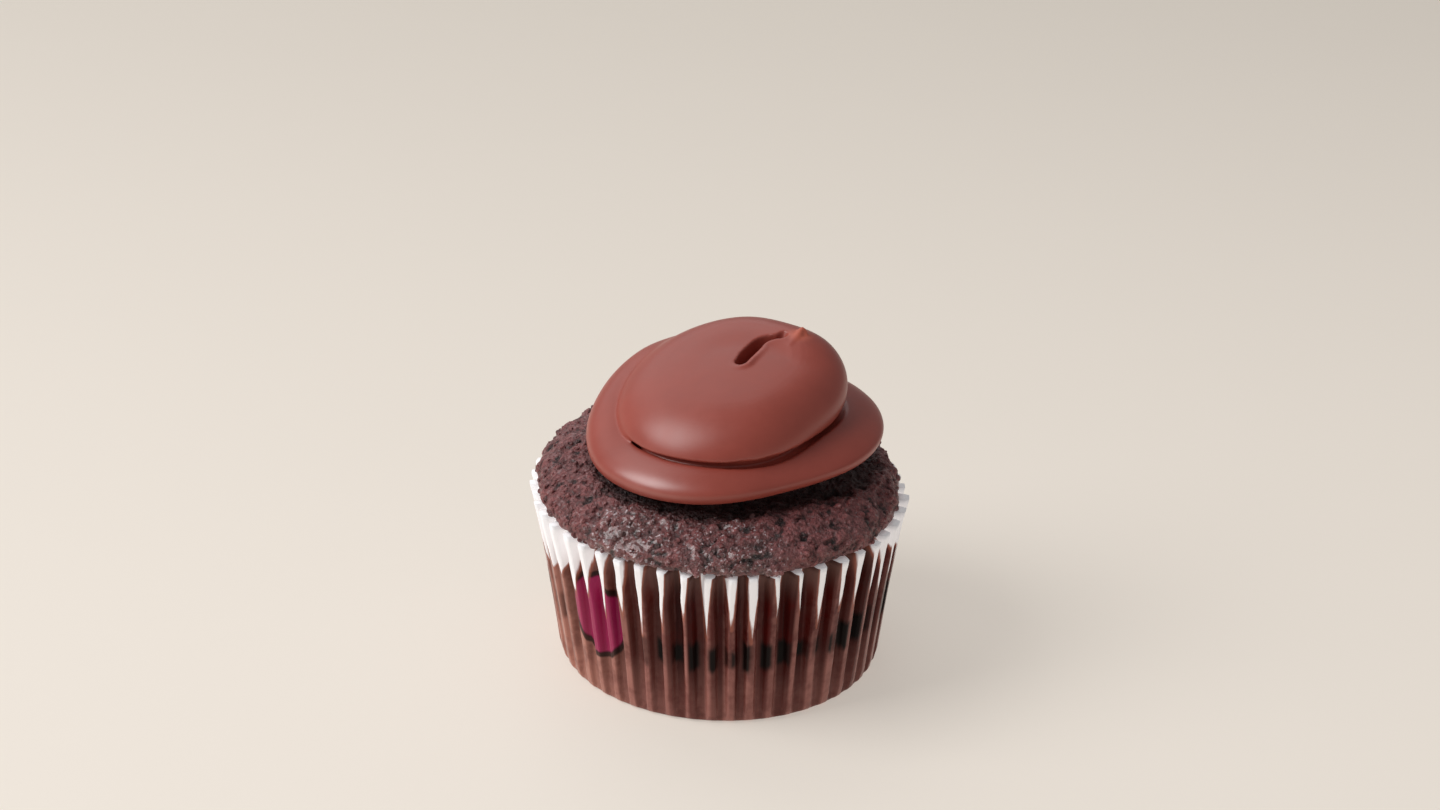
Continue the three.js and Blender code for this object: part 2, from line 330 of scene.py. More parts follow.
@dataclass
class Recipe:
    """A geometry node tree with named number inputs, which reshapes or covers a mesh.

    Attributes:
        name: Name of the tree.
        inputs: The named numbers that the tree takes, with their values.
    """

    name: str
    inputs: dict[str, float]
    canvas: Canvas = field(init=False)
    entry: bpy.types.Node = field(init=False)

    def __post_init__(self) -> None:
        """Makes the empty tree and its inputs."""
        tree = bpy.data.node_groups.new(self.name, "GeometryNodeTree")
        geometry = "NodeSocketGeometry"
        tree.interface.new_socket("Geometry", in_out="INPUT", socket_type=geometry)
        tree.interface.new_socket("Geometry", in_out="OUTPUT", socket_type=geometry)
        for label in self.inputs:
            tree.interface.new_socket(label, in_out="INPUT", socket_type="NodeSocketFloat")
        self.canvas = Canvas(tree)
        self.entry = self.canvas.node("NodeGroupInput")

    def __getitem__(self, label: str) -> Formula:
        """The formula of one of the named inputs."""
        return self.canvas.result(self.entry, label)

    def place(self) -> Formula:
        """Where a point stands, in metres."""
        return self.canvas.result(self.canvas.node("GeometryNodeInputPosition"))

    def normal(self) -> Formula:
        """Which way the surface faces at a point."""
        return self.canvas.result(self.canvas.node("GeometryNodeInputNormal"))

    def read(self, name: str) -> Formula:
        """A number that the mesh carries at each point.

        Args:
            name: The number's name.

        Returns:
            The number.
        """
        settings = {"data_type": "FLOAT"}
        node = self.canvas.node("GeometryNodeInputNamedAttribute", settings, {"Name": name})
        return self.canvas.result(node, "Attribute")

    def moved(self, geometry: Formula, to: Formula) -> Formula:
        """Puts each point of a geometry in its new place."""
        entries = {"Geometry": geometry, "Position": to}
        return self.canvas.result(self.canvas.node("GeometryNodeSetPosition", entries=entries))

    def pushed(self, geometry: Formula, way: Formula, distance: Formula) -> Formula:
        """Moves each point of a geometry.

        Args:
            geometry: The geometry.
            way: Which way each point goes.
            distance: How far it goes that way.

        Returns:
            The geometry with its points moved.
        """
        entries = {"Geometry": geometry, "Offset": self.canvas.scaled(way, distance)}
        return self.canvas.result(self.canvas.node("GeometryNodeSetPosition", entries=entries))

    def store(self, geometry: Formula, name: str, value: Formula) -> Formula:
        """Writes a number on each point, for the material to read.

        Args:
            geometry: The geometry that takes the number.
            name: The number's name.
            value: The number.

        Returns:
            The geometry that carries it.
        """
        node = self.canvas.node(
            "GeometryNodeStoreNamedAttribute",
            {"data_type": "FLOAT", "domain": "POINT"},
            {"Geometry": geometry, "Name": name, "Value": value},
        )
        return self.canvas.result(node)

    def finish(self, geometry: Formula, material: bpy.types.Material) -> None:
        """Ends the tree: whatever was instanced becomes mesh, in one material.

        Args:
            geometry: What the tree has made.
            material: The material of all of it.
        """
        real = self.canvas.node("GeometryNodeRealizeInstances", entries={"Geometry": geometry})
        dressed = self.canvas.node("GeometryNodeSetMaterial")
        dressed.inputs["Material"].default_value = material
        self.canvas.tree.links.new(real.outputs[0], dressed.inputs["Geometry"])
        end = self.canvas.node("NodeGroupOutput")
        self.canvas.tree.links.new(dressed.outputs[0], end.inputs[0])

    def apply(self, piece: bpy.types.Object) -> None:
        """Runs the tree on a piece, and leaves the result as the piece's plain mesh.

        Args:
            piece: The piece that the tree reshapes or covers.
        """
        modifier = piece.modifiers.new(self.name, "NODES")
        modifier.node_group = self.canvas.tree
        for item in self.canvas.tree.interface.items_tree:
            if item.in_out == "INPUT" and item.name in self.inputs:
                modifier[item.identifier] = self.inputs[item.name]
        bake_modifiers(piece)


# Meshes.


def bake_modifiers(piece: bpy.types.Object) -> None:
    """Replaces a piece's mesh by what its modifiers make of it, and removes them.

    Args:
        piece: The piece.
    """
    graph = bpy.context.evaluated_depsgraph_get()
    mesh = bpy.data.meshes.new_from_object(piece.evaluated_get(graph), depsgraph=graph)
    piece.modifiers.clear()
    old, piece.data = piece.data, mesh
    mesh.name = piece.name
    bpy.data.meshes.remove(old)


def add_piece(name: str, points: np.ndarray, faces: Sequence[Sequence[int]]) -> bpy.types.Object:
    """Adds a smooth-shaded mesh to the scene.

    Args:
        name: The piece's name.
        points: Its points, in millimetres.
        faces: Its faces, as rows of point numbers.

    Returns:
        The piece's object, which stands at the origin.
    """
    mesh = bpy.data.meshes.new(name)
    mesh.from_pydata((points * MM).tolist(), [], faces)
    mesh.shade_smooth()
    piece = bpy.data.objects.new(name, mesh)
    bpy.context.scene.collection.objects.link(piece)
    return piece


Rows = tuple[np.ndarray, np.ndarray]
Shape = Callable[[np.ndarray, np.ndarray, np.ndarray], Rows]


def turned(
    rows: Sequence[tuple[float, float]], columns: int, shape: Shape | None = None
) -> Form:
    """A closed form turned about the upright axis.

    Args:
        rows: Radius and height of each row. The first and last lie on the axis, and the rows
            between run from the underside round the outside to the top.
        columns: How many points go round.
        shape: Moves the points of all rows, from their angles, radii and heights.

    Returns:
        The points, pole first and pole last, and the faces, turned outwards.
    """
    outline = np.array(rows[1:-1])
    angles = np.arange(columns) * TURN / columns
    angle, radius = np.meshgrid(angles, outline[:, 0])
    height = np.repeat(outline[:, 1:], columns, axis=1)
    if shape:
        radius, height = shape(angle, radius, height)
    rings = np.stack([radius * np.cos(angle), radius * np.sin(angle), height], axis=-1)
    poles = np.array([[0.0, 0.0, rows[0][1]], [0.0, 0.0, rows[-1][1]]])
    points = np.vstack([poles[:1], rings.reshape(-1, 3), poles[1:]])
    faces: list[tuple[int, ...]] = []
    last = 1 + (len(outline) - 1) * columns
    for here in range(columns):
        beside = (here + 1) % columns
        faces.append((0, 1 + beside, 1 + here))
        faces.append((last + here, last + beside, len(points) - 1))
        for row in range(len(outline) - 1):
            low, high = 1 + row * columns, 1 + (row + 1) * columns
            faces.append((low + here, low + beside, high + beside, high + here))
    return points, faces


def carry(piece: bpy.types.Object, name: str, values: np.ndarray) -> None:
    """Gives a mesh one number at each point, which node trees read by its name."""
    attribute = piece.data.attributes.new(name, "FLOAT", "POINT")
    attribute.data.foreach_set("value", values.astype(np.float32))


def hand_over(piece: bpy.types.Object, slot: str, *nodes: str) -> None:
    """Fixes a finished piece to the cupcake and hides the solids whose place it takes.

    Args:
        piece: The piece.
        slot: Its material slot; not used.
        nodes: The solids whose place it takes, if any.
    """
    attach(piece, "root")
    if nodes:
        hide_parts(*nodes)
    log.info("%s: %d faces", piece.name, len(piece.data.polygons))


# What every piece shares: the uneven plan and the leaning rim.


@dataclass(frozen=True)
class Unevenness:
    """How far the cupcake is from a true round.

    Attributes:
        oval: Share by which the plan is longer along one line and shorter across it.
        oval_angle: Direction of that line.
        lean: How far the rim rises and falls.
        lean_angle: Where the rim is highest.
    """

    oval: float = 0.024
    oval_angle: float = -45
    lean: float = 0.9
    lean_angle: float = 130

    def oval_at(self, angle: np.ndarray) -> np.ndarray:
        """How much wider or narrower the plan is at an angle."""
        return 1 + self.oval * np.cos(2 * (angle - math.radians(self.oval_angle)))

    def lean_at(self, angle: np.ndarray) -> np.ndarray:
        """How far the rim is raised at an angle."""
        return self.lean * np.cos(angle - math.radians(self.lean_angle))


# Finishes.


@dataclass(frozen=True)
class Shade:
    """One colour of a finish, and how rough the surface is where it shows.

    Attributes:
        colour: The colour.
        roughness: How rough it is, from 0 to 1.
    """

    colour: Colour
    roughness: float


class Dressing(Canvas):
    """A material that is written as formulas round one glossy shader."""

    def __init__(self, name: str) -> None:
        """Makes the empty material and its shader.

        Args:
            name: The material's name.
        """
        self.material = bpy.data.materials.new(name)
        self.material.use_nodes = True
        self.material.cycles.emission_sampling = "NONE"
        super().__init__(self.material.node_tree)
        self.shader = self.tree.nodes["Principled BSDF"]

    def place(self) -> Formula:
        """Where a point lies on the piece, in metres."""
        return self.result(self.node("ShaderNodeTexCoord"), "Object")

    def read(self, name: str) -> Formula:
        """A number that the mesh carries."""
        node = self.node("ShaderNodeAttribute", {"attribute_name": name})
        return self.result(node, "Fac")

    def blend(self, share: Entry, first: Entry, second: Entry) -> Formula:
        """Mixes two colours.

        Args:
            share: How much of the second colour shows, from 0 to 1.
            first: The colour at share 0.
            second: The colour at share 1.

        Returns:
            The mixed colour.
        """
        settings = {"data_type": "RGBA", "clamp_factor": True}
        node = self.node("ShaderNodeMix", settings, {0: share, 6: first, 7: second})
        return self.result(node, 2)

    def distance(self, place: Formula, spot: tuple[float, float, float]) -> Formula:
        """How far a place is from a spot.

        Args:
            place: The place, in metres.
            spot: The spot, in millimetres.

        Returns:
            The distance, in metres.
        """
        entries = {0: place, 1: tuple(value * MM for value in spot)}
        node = self.node("ShaderNodeVectorMath", {"operation": "DISTANCE"}, entries)
        return self.result(node, "Value")

    def mottle(self, place: Formula, size: float, strength: float) -> tuple[Formula, Formula]:
        """Places the shared mottle effect.

        Args:
            place: Where the pattern is read.
            size: Size of its blotches, in millimetres.
            strength: How far its colour value departs from the middle.

        Returns:
            Its tone, from 0 to 1, and its height, from 0 to 1.
        """
        entries = {"Place": place, "Size": size * MM, "Strength": strength}
        node = self.node("ShaderNodeGroup", {"node_tree": mottle_group()}, entries)
        return self.result(node, "Tone"), self.result(node, "Height")

    def relief(self, height: Formula, depth: float) -> None:
        """Bumps the surface by a height from 0 to 1, which stands for a depth in millimetres."""
        entries = {"Height": height, "Strength": 1.0, "Distance": depth * MM}
        feed(self.shader.inputs["Normal"], self.result(self.node("ShaderNodeBump", entries=entries)))

    def coat(self, entries: dict[str, Entry]) -> bpy.types.Material:
        """Sets the shader's inputs.

        Args:
            entries: Values or formulas for the inputs, by their names.

        Returns:
            The finished material.
        """
        for name, value in entries.items():
            feed(self.shader.inputs[name], value)
        return self.material


def mottle_group() -> bpy.types.NodeTree:
    """The shared effect: blotches in two sizes, as on anything that was baked, wetted or stirred.

    Returns:
        The node group, which is built once.
    """
    name = "Mottle"
    detail = 3.0
    finer = 4.3
    coarse_share = 0.65
    if name in bpy.data.node_groups:
        return bpy.data.node_groups[name]
    tree = bpy.data.node_groups.new(name, "ShaderNodeTree")
    for label, kind in (("Place", "Vector"), ("Size", "Float"), ("Strength", "Float")):
        tree.interface.new_socket(label, in_out="INPUT", socket_type=f"NodeSocket{kind}")
    for label in ("Tone", "Height"):
        tree.interface.new_socket(label, in_out="OUTPUT", socket_type="NodeSocketFloat")
    canvas = Canvas(tree)
    entry = canvas.node("NodeGroupInput")
    place, size, strength = (canvas.result(entry, i) for i in range(3))
    density = size ** -1.0
    layers = []
    for share in (1.0, finer):
        entries = {"Vector": place, "Scale": density * share, "Detail": detail}
        layers.append(canvas.result(canvas.node("ShaderNodeTexNoise", entries=entries), "Fac"))
    coarse, fine = layers
    end = canvas.node("NodeGroupOutput")
    blotch = coarse * coarse_share + fine * (1 - coarse_share)
    feed(end.inputs["Tone"], ((blotch - 0.5) * strength * 2.0 + 0.5).most(0.0).least(1.0))
    feed(end.inputs["Height"], blotch)
    return tree


@dataclass(frozen=True)
class PaperFinish:
    """Greaseproof paper: dry and white on the upper pleats, soaked brown below, with a print.

    Attributes:
        dry: The dry paper.
        ridge: Soaked paper on a crest.
        light_ridge: The same at the left, which is lighter.
        shaded_trough: Soaked paper in a valley: painted shade, with the dark cake right behind it.
        veil: Thin wet paper near the rim, with the cake showing through.
        stain: Edge of the fat's stain, round each dry tooth.
        fat: Where most fat has soaked in, between and under the teeth.
        painted_glow: Glow painted on the dry paper as emission, in place of light that the thin paper
            lets through.
        fibre_size: Size of the paper's fibres.
        blotch_size: Size of its blotches.
        tooth_width: Share of a pleat that is dry at the rim.
        tooth_start: Share of the wall's height where a dry tooth comes to its point.
        tooth_spread: How much that differs between pleats.
        tooth_slant: How far a tooth's point may lean to one side.
        tooth_raggedness: How far the fibres break a tooth's edge.
        side_dryness: How much more of the paper is dry at the left and right.
        side_band: How far to a side, as a share of the radius, that begins and is full.
        left_dryness: How much wider the teeth are at the left.
        left_band: How far to the left the lighter paper begins and is full.
        stain_band: How far inside and outside a tooth's edge the stain ends.
        fat_rise: Shares of the wall's height between which most fat sets in, going up.
        fat_fall: Shares of it where that fat has ended, and where it is still in full.
        grease: How glossy the greasy paper's film of fat is.
        grease_roughness: How soft that gloss is.
        specular: How shiny the bare paper is.
        relief: Depth of its blotches and fibres.
        spot: Colour of the printed spots.
        spot_size: Half width and half height of a spot.
        spot_height: Height of a spot's middle.
        spot_angle: Angle of the first spot.
        spot_strength: How far the spots' colour covers the paper.
        edge_strength: How far their dark edges cover it.
        repeats: How many times the print goes round.
        ink: Colour of the dashes and of the spots' edges.
        dash_height: Height of the dashes' middle.
        dash_size: Half the height of a dash.
        dashes: How many dashes would go all round.
        dash_gap: Angles in radians beside a spot where the dashes begin and are full.
        dash_strength: How far the dashes cover the paper.
    """

    dry: Shade = Shade(srgb(246, 244, 245), 0.6)
    ridge: Shade = Shade(srgb(164, 106, 97), 0.33)
    light_ridge: Colour = srgb(186, 126, 111)
    shaded_trough: Colour = srgb(46, 2, 2)
    veil: Colour = srgb(122, 92, 84)
    stain: Colour = srgb(176, 104, 84)
    fat: Colour = srgb(80, 12, 8)
    painted_glow: Colour = srgb(118, 116, 117)
    fibre_size: float = 0.9
    blotch_size: float = 5.0
    tooth_width: float = 0.6
    tooth_start: float = 0.5
    tooth_spread: float = 0.2
    tooth_slant: float = 0.3
    tooth_raggedness: float = 0.09
    side_dryness: float = 1.1
    side_band: tuple[float, float] = (0.72, 0.96)
    left_dryness: float = 0.35
    left_band: tuple[float, float] = (-0.35, -0.9)
    stain_band: tuple[float, float] = (-0.12, 0.02)
    fat_rise: tuple[float, float] = (0.25, 0.5)
    fat_fall: tuple[float, float] = (0.95, 0.75)
    grease: float = 0.45
    grease_roughness: float = 0.24
    specular: float = 0.07
    relief: float = 0.12
    spot: Colour = srgb(164, 24, 88)
    spot_size: tuple[float, float] = (5.6, 8.2)
    spot_height: float = 17.2
    spot_angle: float = -135
    spot_strength: float = 0.88
    edge_strength: float = 0.85
    repeats: int = 2
    ink: Colour = srgb(14, 12, 11)
    dash_height: float = 13.6
    dash_size: float = 3.2
    dashes: int = 61
    dash_gap: tuple[float, float] = (0.3, 0.34)
    dash_strength: float = 0.97

    def tooth_margin(self, paint: Dressing, axes: Axes, fibres: Formula) -> Formula:
        """How far inside a dry tooth a point lies, as a share of half a pleat.

        Args:
            paint: The material.
            axes: The point's place, in metres.
            fibres: The paper's fibres.

        Returns:
            The margin, which is negative on soaked paper.
        """
        x, y, _ = axes
        chance, inside = paint.read("chance"), paint.read("inside")
        start = chance * self.tooth_spread + self.tooth_start
        past = (paint.read("rise") - start) / (1.0 - start)
        along = past.most(0.0)
        sideways = x.absolute() / (x * x + y * y) ** 0.5
        side = sideways.eased(*self.side_band) * self.side_dryness
        left = self.leftward(x, y) * self.left_dryness
        width = along**1.1 * (side + self.tooth_width + left) + inside * along
        width = width + past.least(0.0) * 3.0
        slant = (chance * 7.0).sine() * along.inverse() * self.tooth_slant
        ragged = slant * paint.read("skew") + fibres * self.tooth_raggedness
        return width - (paint.read("from_crest") + ragged)

    def leftward(self, x: Formula, y: Formula) -> Formula:
        """How much of the lighter left side's paper a place in plan has."""
        return (x / (x * x + y * y) ** 0.5).eased(*self.left_band)

    def soaked(
        self, paint: Dressing, leftward: Formula, tone: Formula, fibres: Formula
    ) -> tuple[Formula, Formula]:
        """The greasy paper's colour: lighter ridges, valleys darkened by painted shade and by the
        cake behind them, and fat soaked in unevenly.

        Args:
            paint: The material.
            leftward: How much of the left side's lighter paper a point has.
            tone: The paper's blotches.
            fibres: Its fibres.

        Returns:
            The colour, and how deep in a dark valley a point lies, which sets its painted shade.
        """
        rise, chance = paint.read("rise"), paint.read("chance")
        luck = (chance * 41.0).sine() * 0.5 + 0.5
        start = luck * 0.4
        # Painted shade deep in the valleys, stronger up the wall and weaker at the left; it also
        # stands for the dark cake behind the thin paper.
        deep = paint.read("from_crest").eased(start, start + 0.35) * (chance * 0.35 + 0.65)
        deep = deep * rise.eased(0.02, 0.45, 0.55, 1.0) * (leftward * -0.6 + 1.0)
        ridge = paint.blend(leftward, self.ridge.colour, self.light_ridge)
        colour = paint.blend(deep, ridge, self.shaded_trough)
        streak = (fibres * 0.5 + tone).eased(0.2, 1.0)
        fattest = rise.eased(*self.fat_rise) * rise.eased(*self.fat_fall)
        fattest = fattest * (leftward * -0.7 + 1.0)
        colour = paint.blend(streak * 0.45 + fattest * luck * 0.6, colour, self.fat)
        return paint.blend(rise.eased(0.76, 1.0) * 0.6, colour, self.veil), deep

    def material(self) -> bpy.types.Material:
        """Builds the material. It reads the pleats' own numbers from the mesh.

        Returns:
            The material.
        """
        paint = Dressing("soaked_paper")
        place = paint.place()
        x, y, z = paint.axes(place)
        fibres = paint.noise(paint.vector(x, y, z * 0.2), self.fibre_size, detail=3.0)
        tone, height = paint.mottle(place, self.blotch_size, strength=1.6)
        margin = self.tooth_margin(paint, (x, y, z), fibres)
        dry = margin.eased(0.0, 0.1)

        wet, deep = self.soaked(paint, self.leftward(x, y), tone, fibres)
        wet, inked = self.printed(paint, wet, (x, y, z), fibres)
        wet = paint.blend(margin.eased(*self.stain_band) * 0.7, wet, self.stain)
        rough = dry * (self.dry.roughness - self.ridge.roughness) + self.ridge.roughness
        greasy = dry.inverse() * (inked * -0.8 + 1.0) * deep.inverse()
        paint.relief(height * 0.6 + fibres * 0.2, self.relief)
        return paint.coat(
            {
                "Base Color": paint.blend(dry, wet, self.dry.colour),
                "Roughness": rough + tone * 0.12,
                "Specular IOR Level": self.specular,
                "Coat Weight": greasy * self.grease,
                "Coat Roughness": self.grease_roughness,
                # Painted light: the dry paper glows faintly, though it is no lamp.
                "Emission Color": paint.blend(dry, srgb(0, 0, 0), self.painted_glow),
                "Emission Strength": 1.0,
            }
        )

    def printed(
        self, paint: Dressing, paper: Formula, axes: Axes, fibres: Formula
    ) -> tuple[Formula, Formula]:
        """Lays the print over the paper: plain spots with a dark edge, and a row of dashes.

        Args:
            paint: The material.
            paper: The bare paper's colour.
            axes: The point's place, in metres.
            fibres: The paper's fibres, which break the print's edge.

        Returns:
            The printed paper's colour, and where the dark ink lies.
        """
        x, y, z = axes
        outside = paint.read("inside").inverse()
        angle = y.math("ARCTAN2", x)
        sector = TURN / self.repeats
        turned_to = angle - math.radians(self.spot_angle) + sector / 2
        across = turned_to.math("FLOORED_MODULO", sector) - sector / 2
        radius = (x * x + y * y) ** 0.5
        beside = across * radius / (self.spot_size[0] * MM)
        above = (z - self.spot_height * MM) / (self.spot_size[1] * MM)
        ring = (beside * beside + above * above) ** 0.5 + fibres * 0.03
        fill = ring.eased(1.0, 0.93) * outside * self.spot_strength
        edge = ring.eased(1.1, 1.04) * ring.eased(0.9, 0.97) * outside * self.edge_strength

        steps = angle * (self.dashes / TURN)
        beat = steps.math("FLOORED_MODULO", 1.0)
        luck = paint.chance(steps - beat, 3.0)
        off_line = (z - self.dash_height * MM).absolute() / (self.dash_size * MM)
        off_line = off_line + fibres * 0.4 + luck * 0.45
        clear = across.absolute().eased(*self.dash_gap) * outside
        dash = off_line.eased(1.2, 0.7) * beat.eased(0.0, 0.25) * beat.eased(luck * 0.3 + 0.8, 0.5)
        dash = dash * paint.read("from_crest").eased(0.05, 0.35, 0.5, 1.0)
        paper = paint.blend(fill, paper, self.spot)
        inked = edge.most(dash * clear * self.dash_strength)
        return paint.blend(inked, paper, self.ink), inked


@dataclass(frozen=True)
class CrumbFinish:
    """Dark chocolate crumb: open and dull, with moist glossy places.

    Attributes:
        lit: Colour of the crumb's raised tops, with painted light.
        deep: Colour of its pores, as painted shade; it is also the painted shade under the icing's
            edge, and darkens the moist places a little.
        warm: Colour of the redder places.
        painted_glint: Colour of the painted highlights on moist grains.
        moist_places: Middles of the moistest places.
        moist_reach: How far such a place reaches.
        moist_core: How far from its middle it is fully moist.
        grain_size: Size of the grains that colour and relief follow.
        speck_size: Size of the specks between them.
        patch_size: Size of the redder and moister patches.
        specular: How shiny the dry crumb is.
        film_roughness: How soft the gloss of the moist places is.
        relief: Depth of the grains.
    """

    lit: Colour = srgb(166, 92, 92)
    deep: Colour = srgb(24, 8, 7)
    warm: Colour = srgb(92, 38, 32)
    painted_glint: Colour = srgb(236, 220, 224)
    moist_places: tuple[tuple[float, float, float], ...] = ((-14, -25, 33.5), (2, -29, 33))
    moist_reach: float = 13
    moist_core: float = 2
    grain_size: float = 0.6
    speck_size: float = 0.7
    patch_size: float = 7.0
    specular: float = 0.7
    film_roughness: float = 0.11
    relief: float = 1.3

    def material(self) -> bpy.types.Material:
        """Builds the material. It reads the crumb's height and the painted shade under the icing's
        edge from the mesh.

        Returns:
            The material.
        """
        paint = Dressing("chocolate_crumb")
        place = paint.place()
        grains, height = paint.mottle(place, self.grain_size, strength=2.4)
        raised = paint.read("crumb_height").eased(-0.75, 0.45)
        specks = paint.noise(place, self.speck_size, detail=3.0, seed=3.0)
        patches = paint.noise(place, self.patch_size, detail=1.0, seed=5.0)
        reach, core = self.moist_reach * MM, self.moist_core * MM
        first, second = (paint.distance(place, spot).eased(reach, core) for spot in self.moist_places)
        moist = (first.most(second) + patches * 0.25).eased(0.1, 0.75)
        covered = paint.read("covered")
        open_air = covered.inverse()
        # Painted light and shade: raised crumb is painted lighter and pores darker, mixed with the
        # random tone of grains and specks.
        light = raised * 0.8 + grains * 0.35 + specks * 0.3 - 0.12
        colour = paint.blend(light, self.deep, self.lit)
        colour = paint.blend(patches.eased(0.1, 0.8) * 0.5, colour, self.warm)
        colour = paint.blend(moist * 0.1, colour, self.deep)
        # Painted shade under the icing's edge.
        colour = paint.blend(covered * 0.85, colour, self.deep)
        sparks = paint.noise(place, self.grain_size, detail=1.0, seed=8.0)
        # Painted highlights: pale specks on raised grains, most in the moist places and none under
        # the icing.
        painted_glints = sparks.eased(0.18, 0.42) * raised
        colour = paint.blend(painted_glints * (moist + 0.25) * open_air, colour, self.painted_glint)
        shine = specks.eased(-0.05, 0.2) * (moist * 0.65 + 0.35) * open_air
        paint.relief(height * 0.5 + specks * 0.5, self.relief)
        return paint.coat(
            {
                "Base Color": colour,
                "Roughness": (moist * -0.2 + 0.5) - shine * 0.16,
                "Specular IOR Level": self.specular,
                "Coat Weight": (shine + moist * 0.6).least(1.0),
                "Coat Roughness": self.film_roughness,
            }
        )


@dataclass(frozen=True)
class IcingFinish:
    """Smooth chocolate icing with a soft sheen, and a warmer, rougher pulled tip.

    Attributes:
        body: Colour of the icing.
        cloud: Colour of its faint paler clouds.
        tip: Colour of the torn tip.
        tip_place: Middle of the tip.
        tip_reach: How far its colour reaches.
        tip_core: How far from its middle it has that colour in full.
        wettest_place: Middle of the ring's wettest, shiniest place.
        wettest_reach: How far that place reaches.
        cloud_size: Size of the clouds.
        roughness: How soft the icing's sheen is.
        specular: How shiny it is outside its wettest place.
        wettest_gain: How much shinier it is there.
        relief: Depth of its faint unevenness.
    """

    body: Colour = srgb(153, 68, 56)
    cloud: Colour = srgb(164, 75, 62)
    tip: Colour = srgb(196, 98, 74)
    tip_place: tuple[float, float, float] = (14.1, 4.3, 58.6)
    tip_reach: float = 2.9
    wettest_place: tuple[float, float, float] = (-13, -22, 42)
    wettest_reach: float = 13
    tip_core: float = 0.8
    cloud_size: float = 9.0
    roughness: float = 0.35
    specular: float = 0.57
    wettest_gain: float = 0.6
    relief: float = 0.05

    def material(self) -> bpy.types.Material:
        """Builds the material.

        Returns:
            The material.
        """
        paint = Dressing("chocolate_icing")
        place = paint.place()
        tone, height = paint.mottle(place, self.cloud_size, strength=1.3)
        from_tip = paint.distance(place, self.tip_place)
        at_tip = from_tip.eased(self.tip_reach * MM, self.tip_core * MM)
        colour = paint.blend(tone * 0.8, self.body, self.cloud)
        colour = paint.blend(at_tip * 0.8, colour, self.tip)
        wettest = paint.distance(place, self.wettest_place).eased(self.wettest_reach * MM, 0.0)
        paint.relief(height, self.relief)
        return paint.coat(
            {
                "Base Color": colour,
                "Roughness": at_tip * 0.15 + self.roughness + tone * 0.08,
                "Specular IOR Level": wettest * self.wettest_gain + self.specular,
            }
        )


# The paper case.


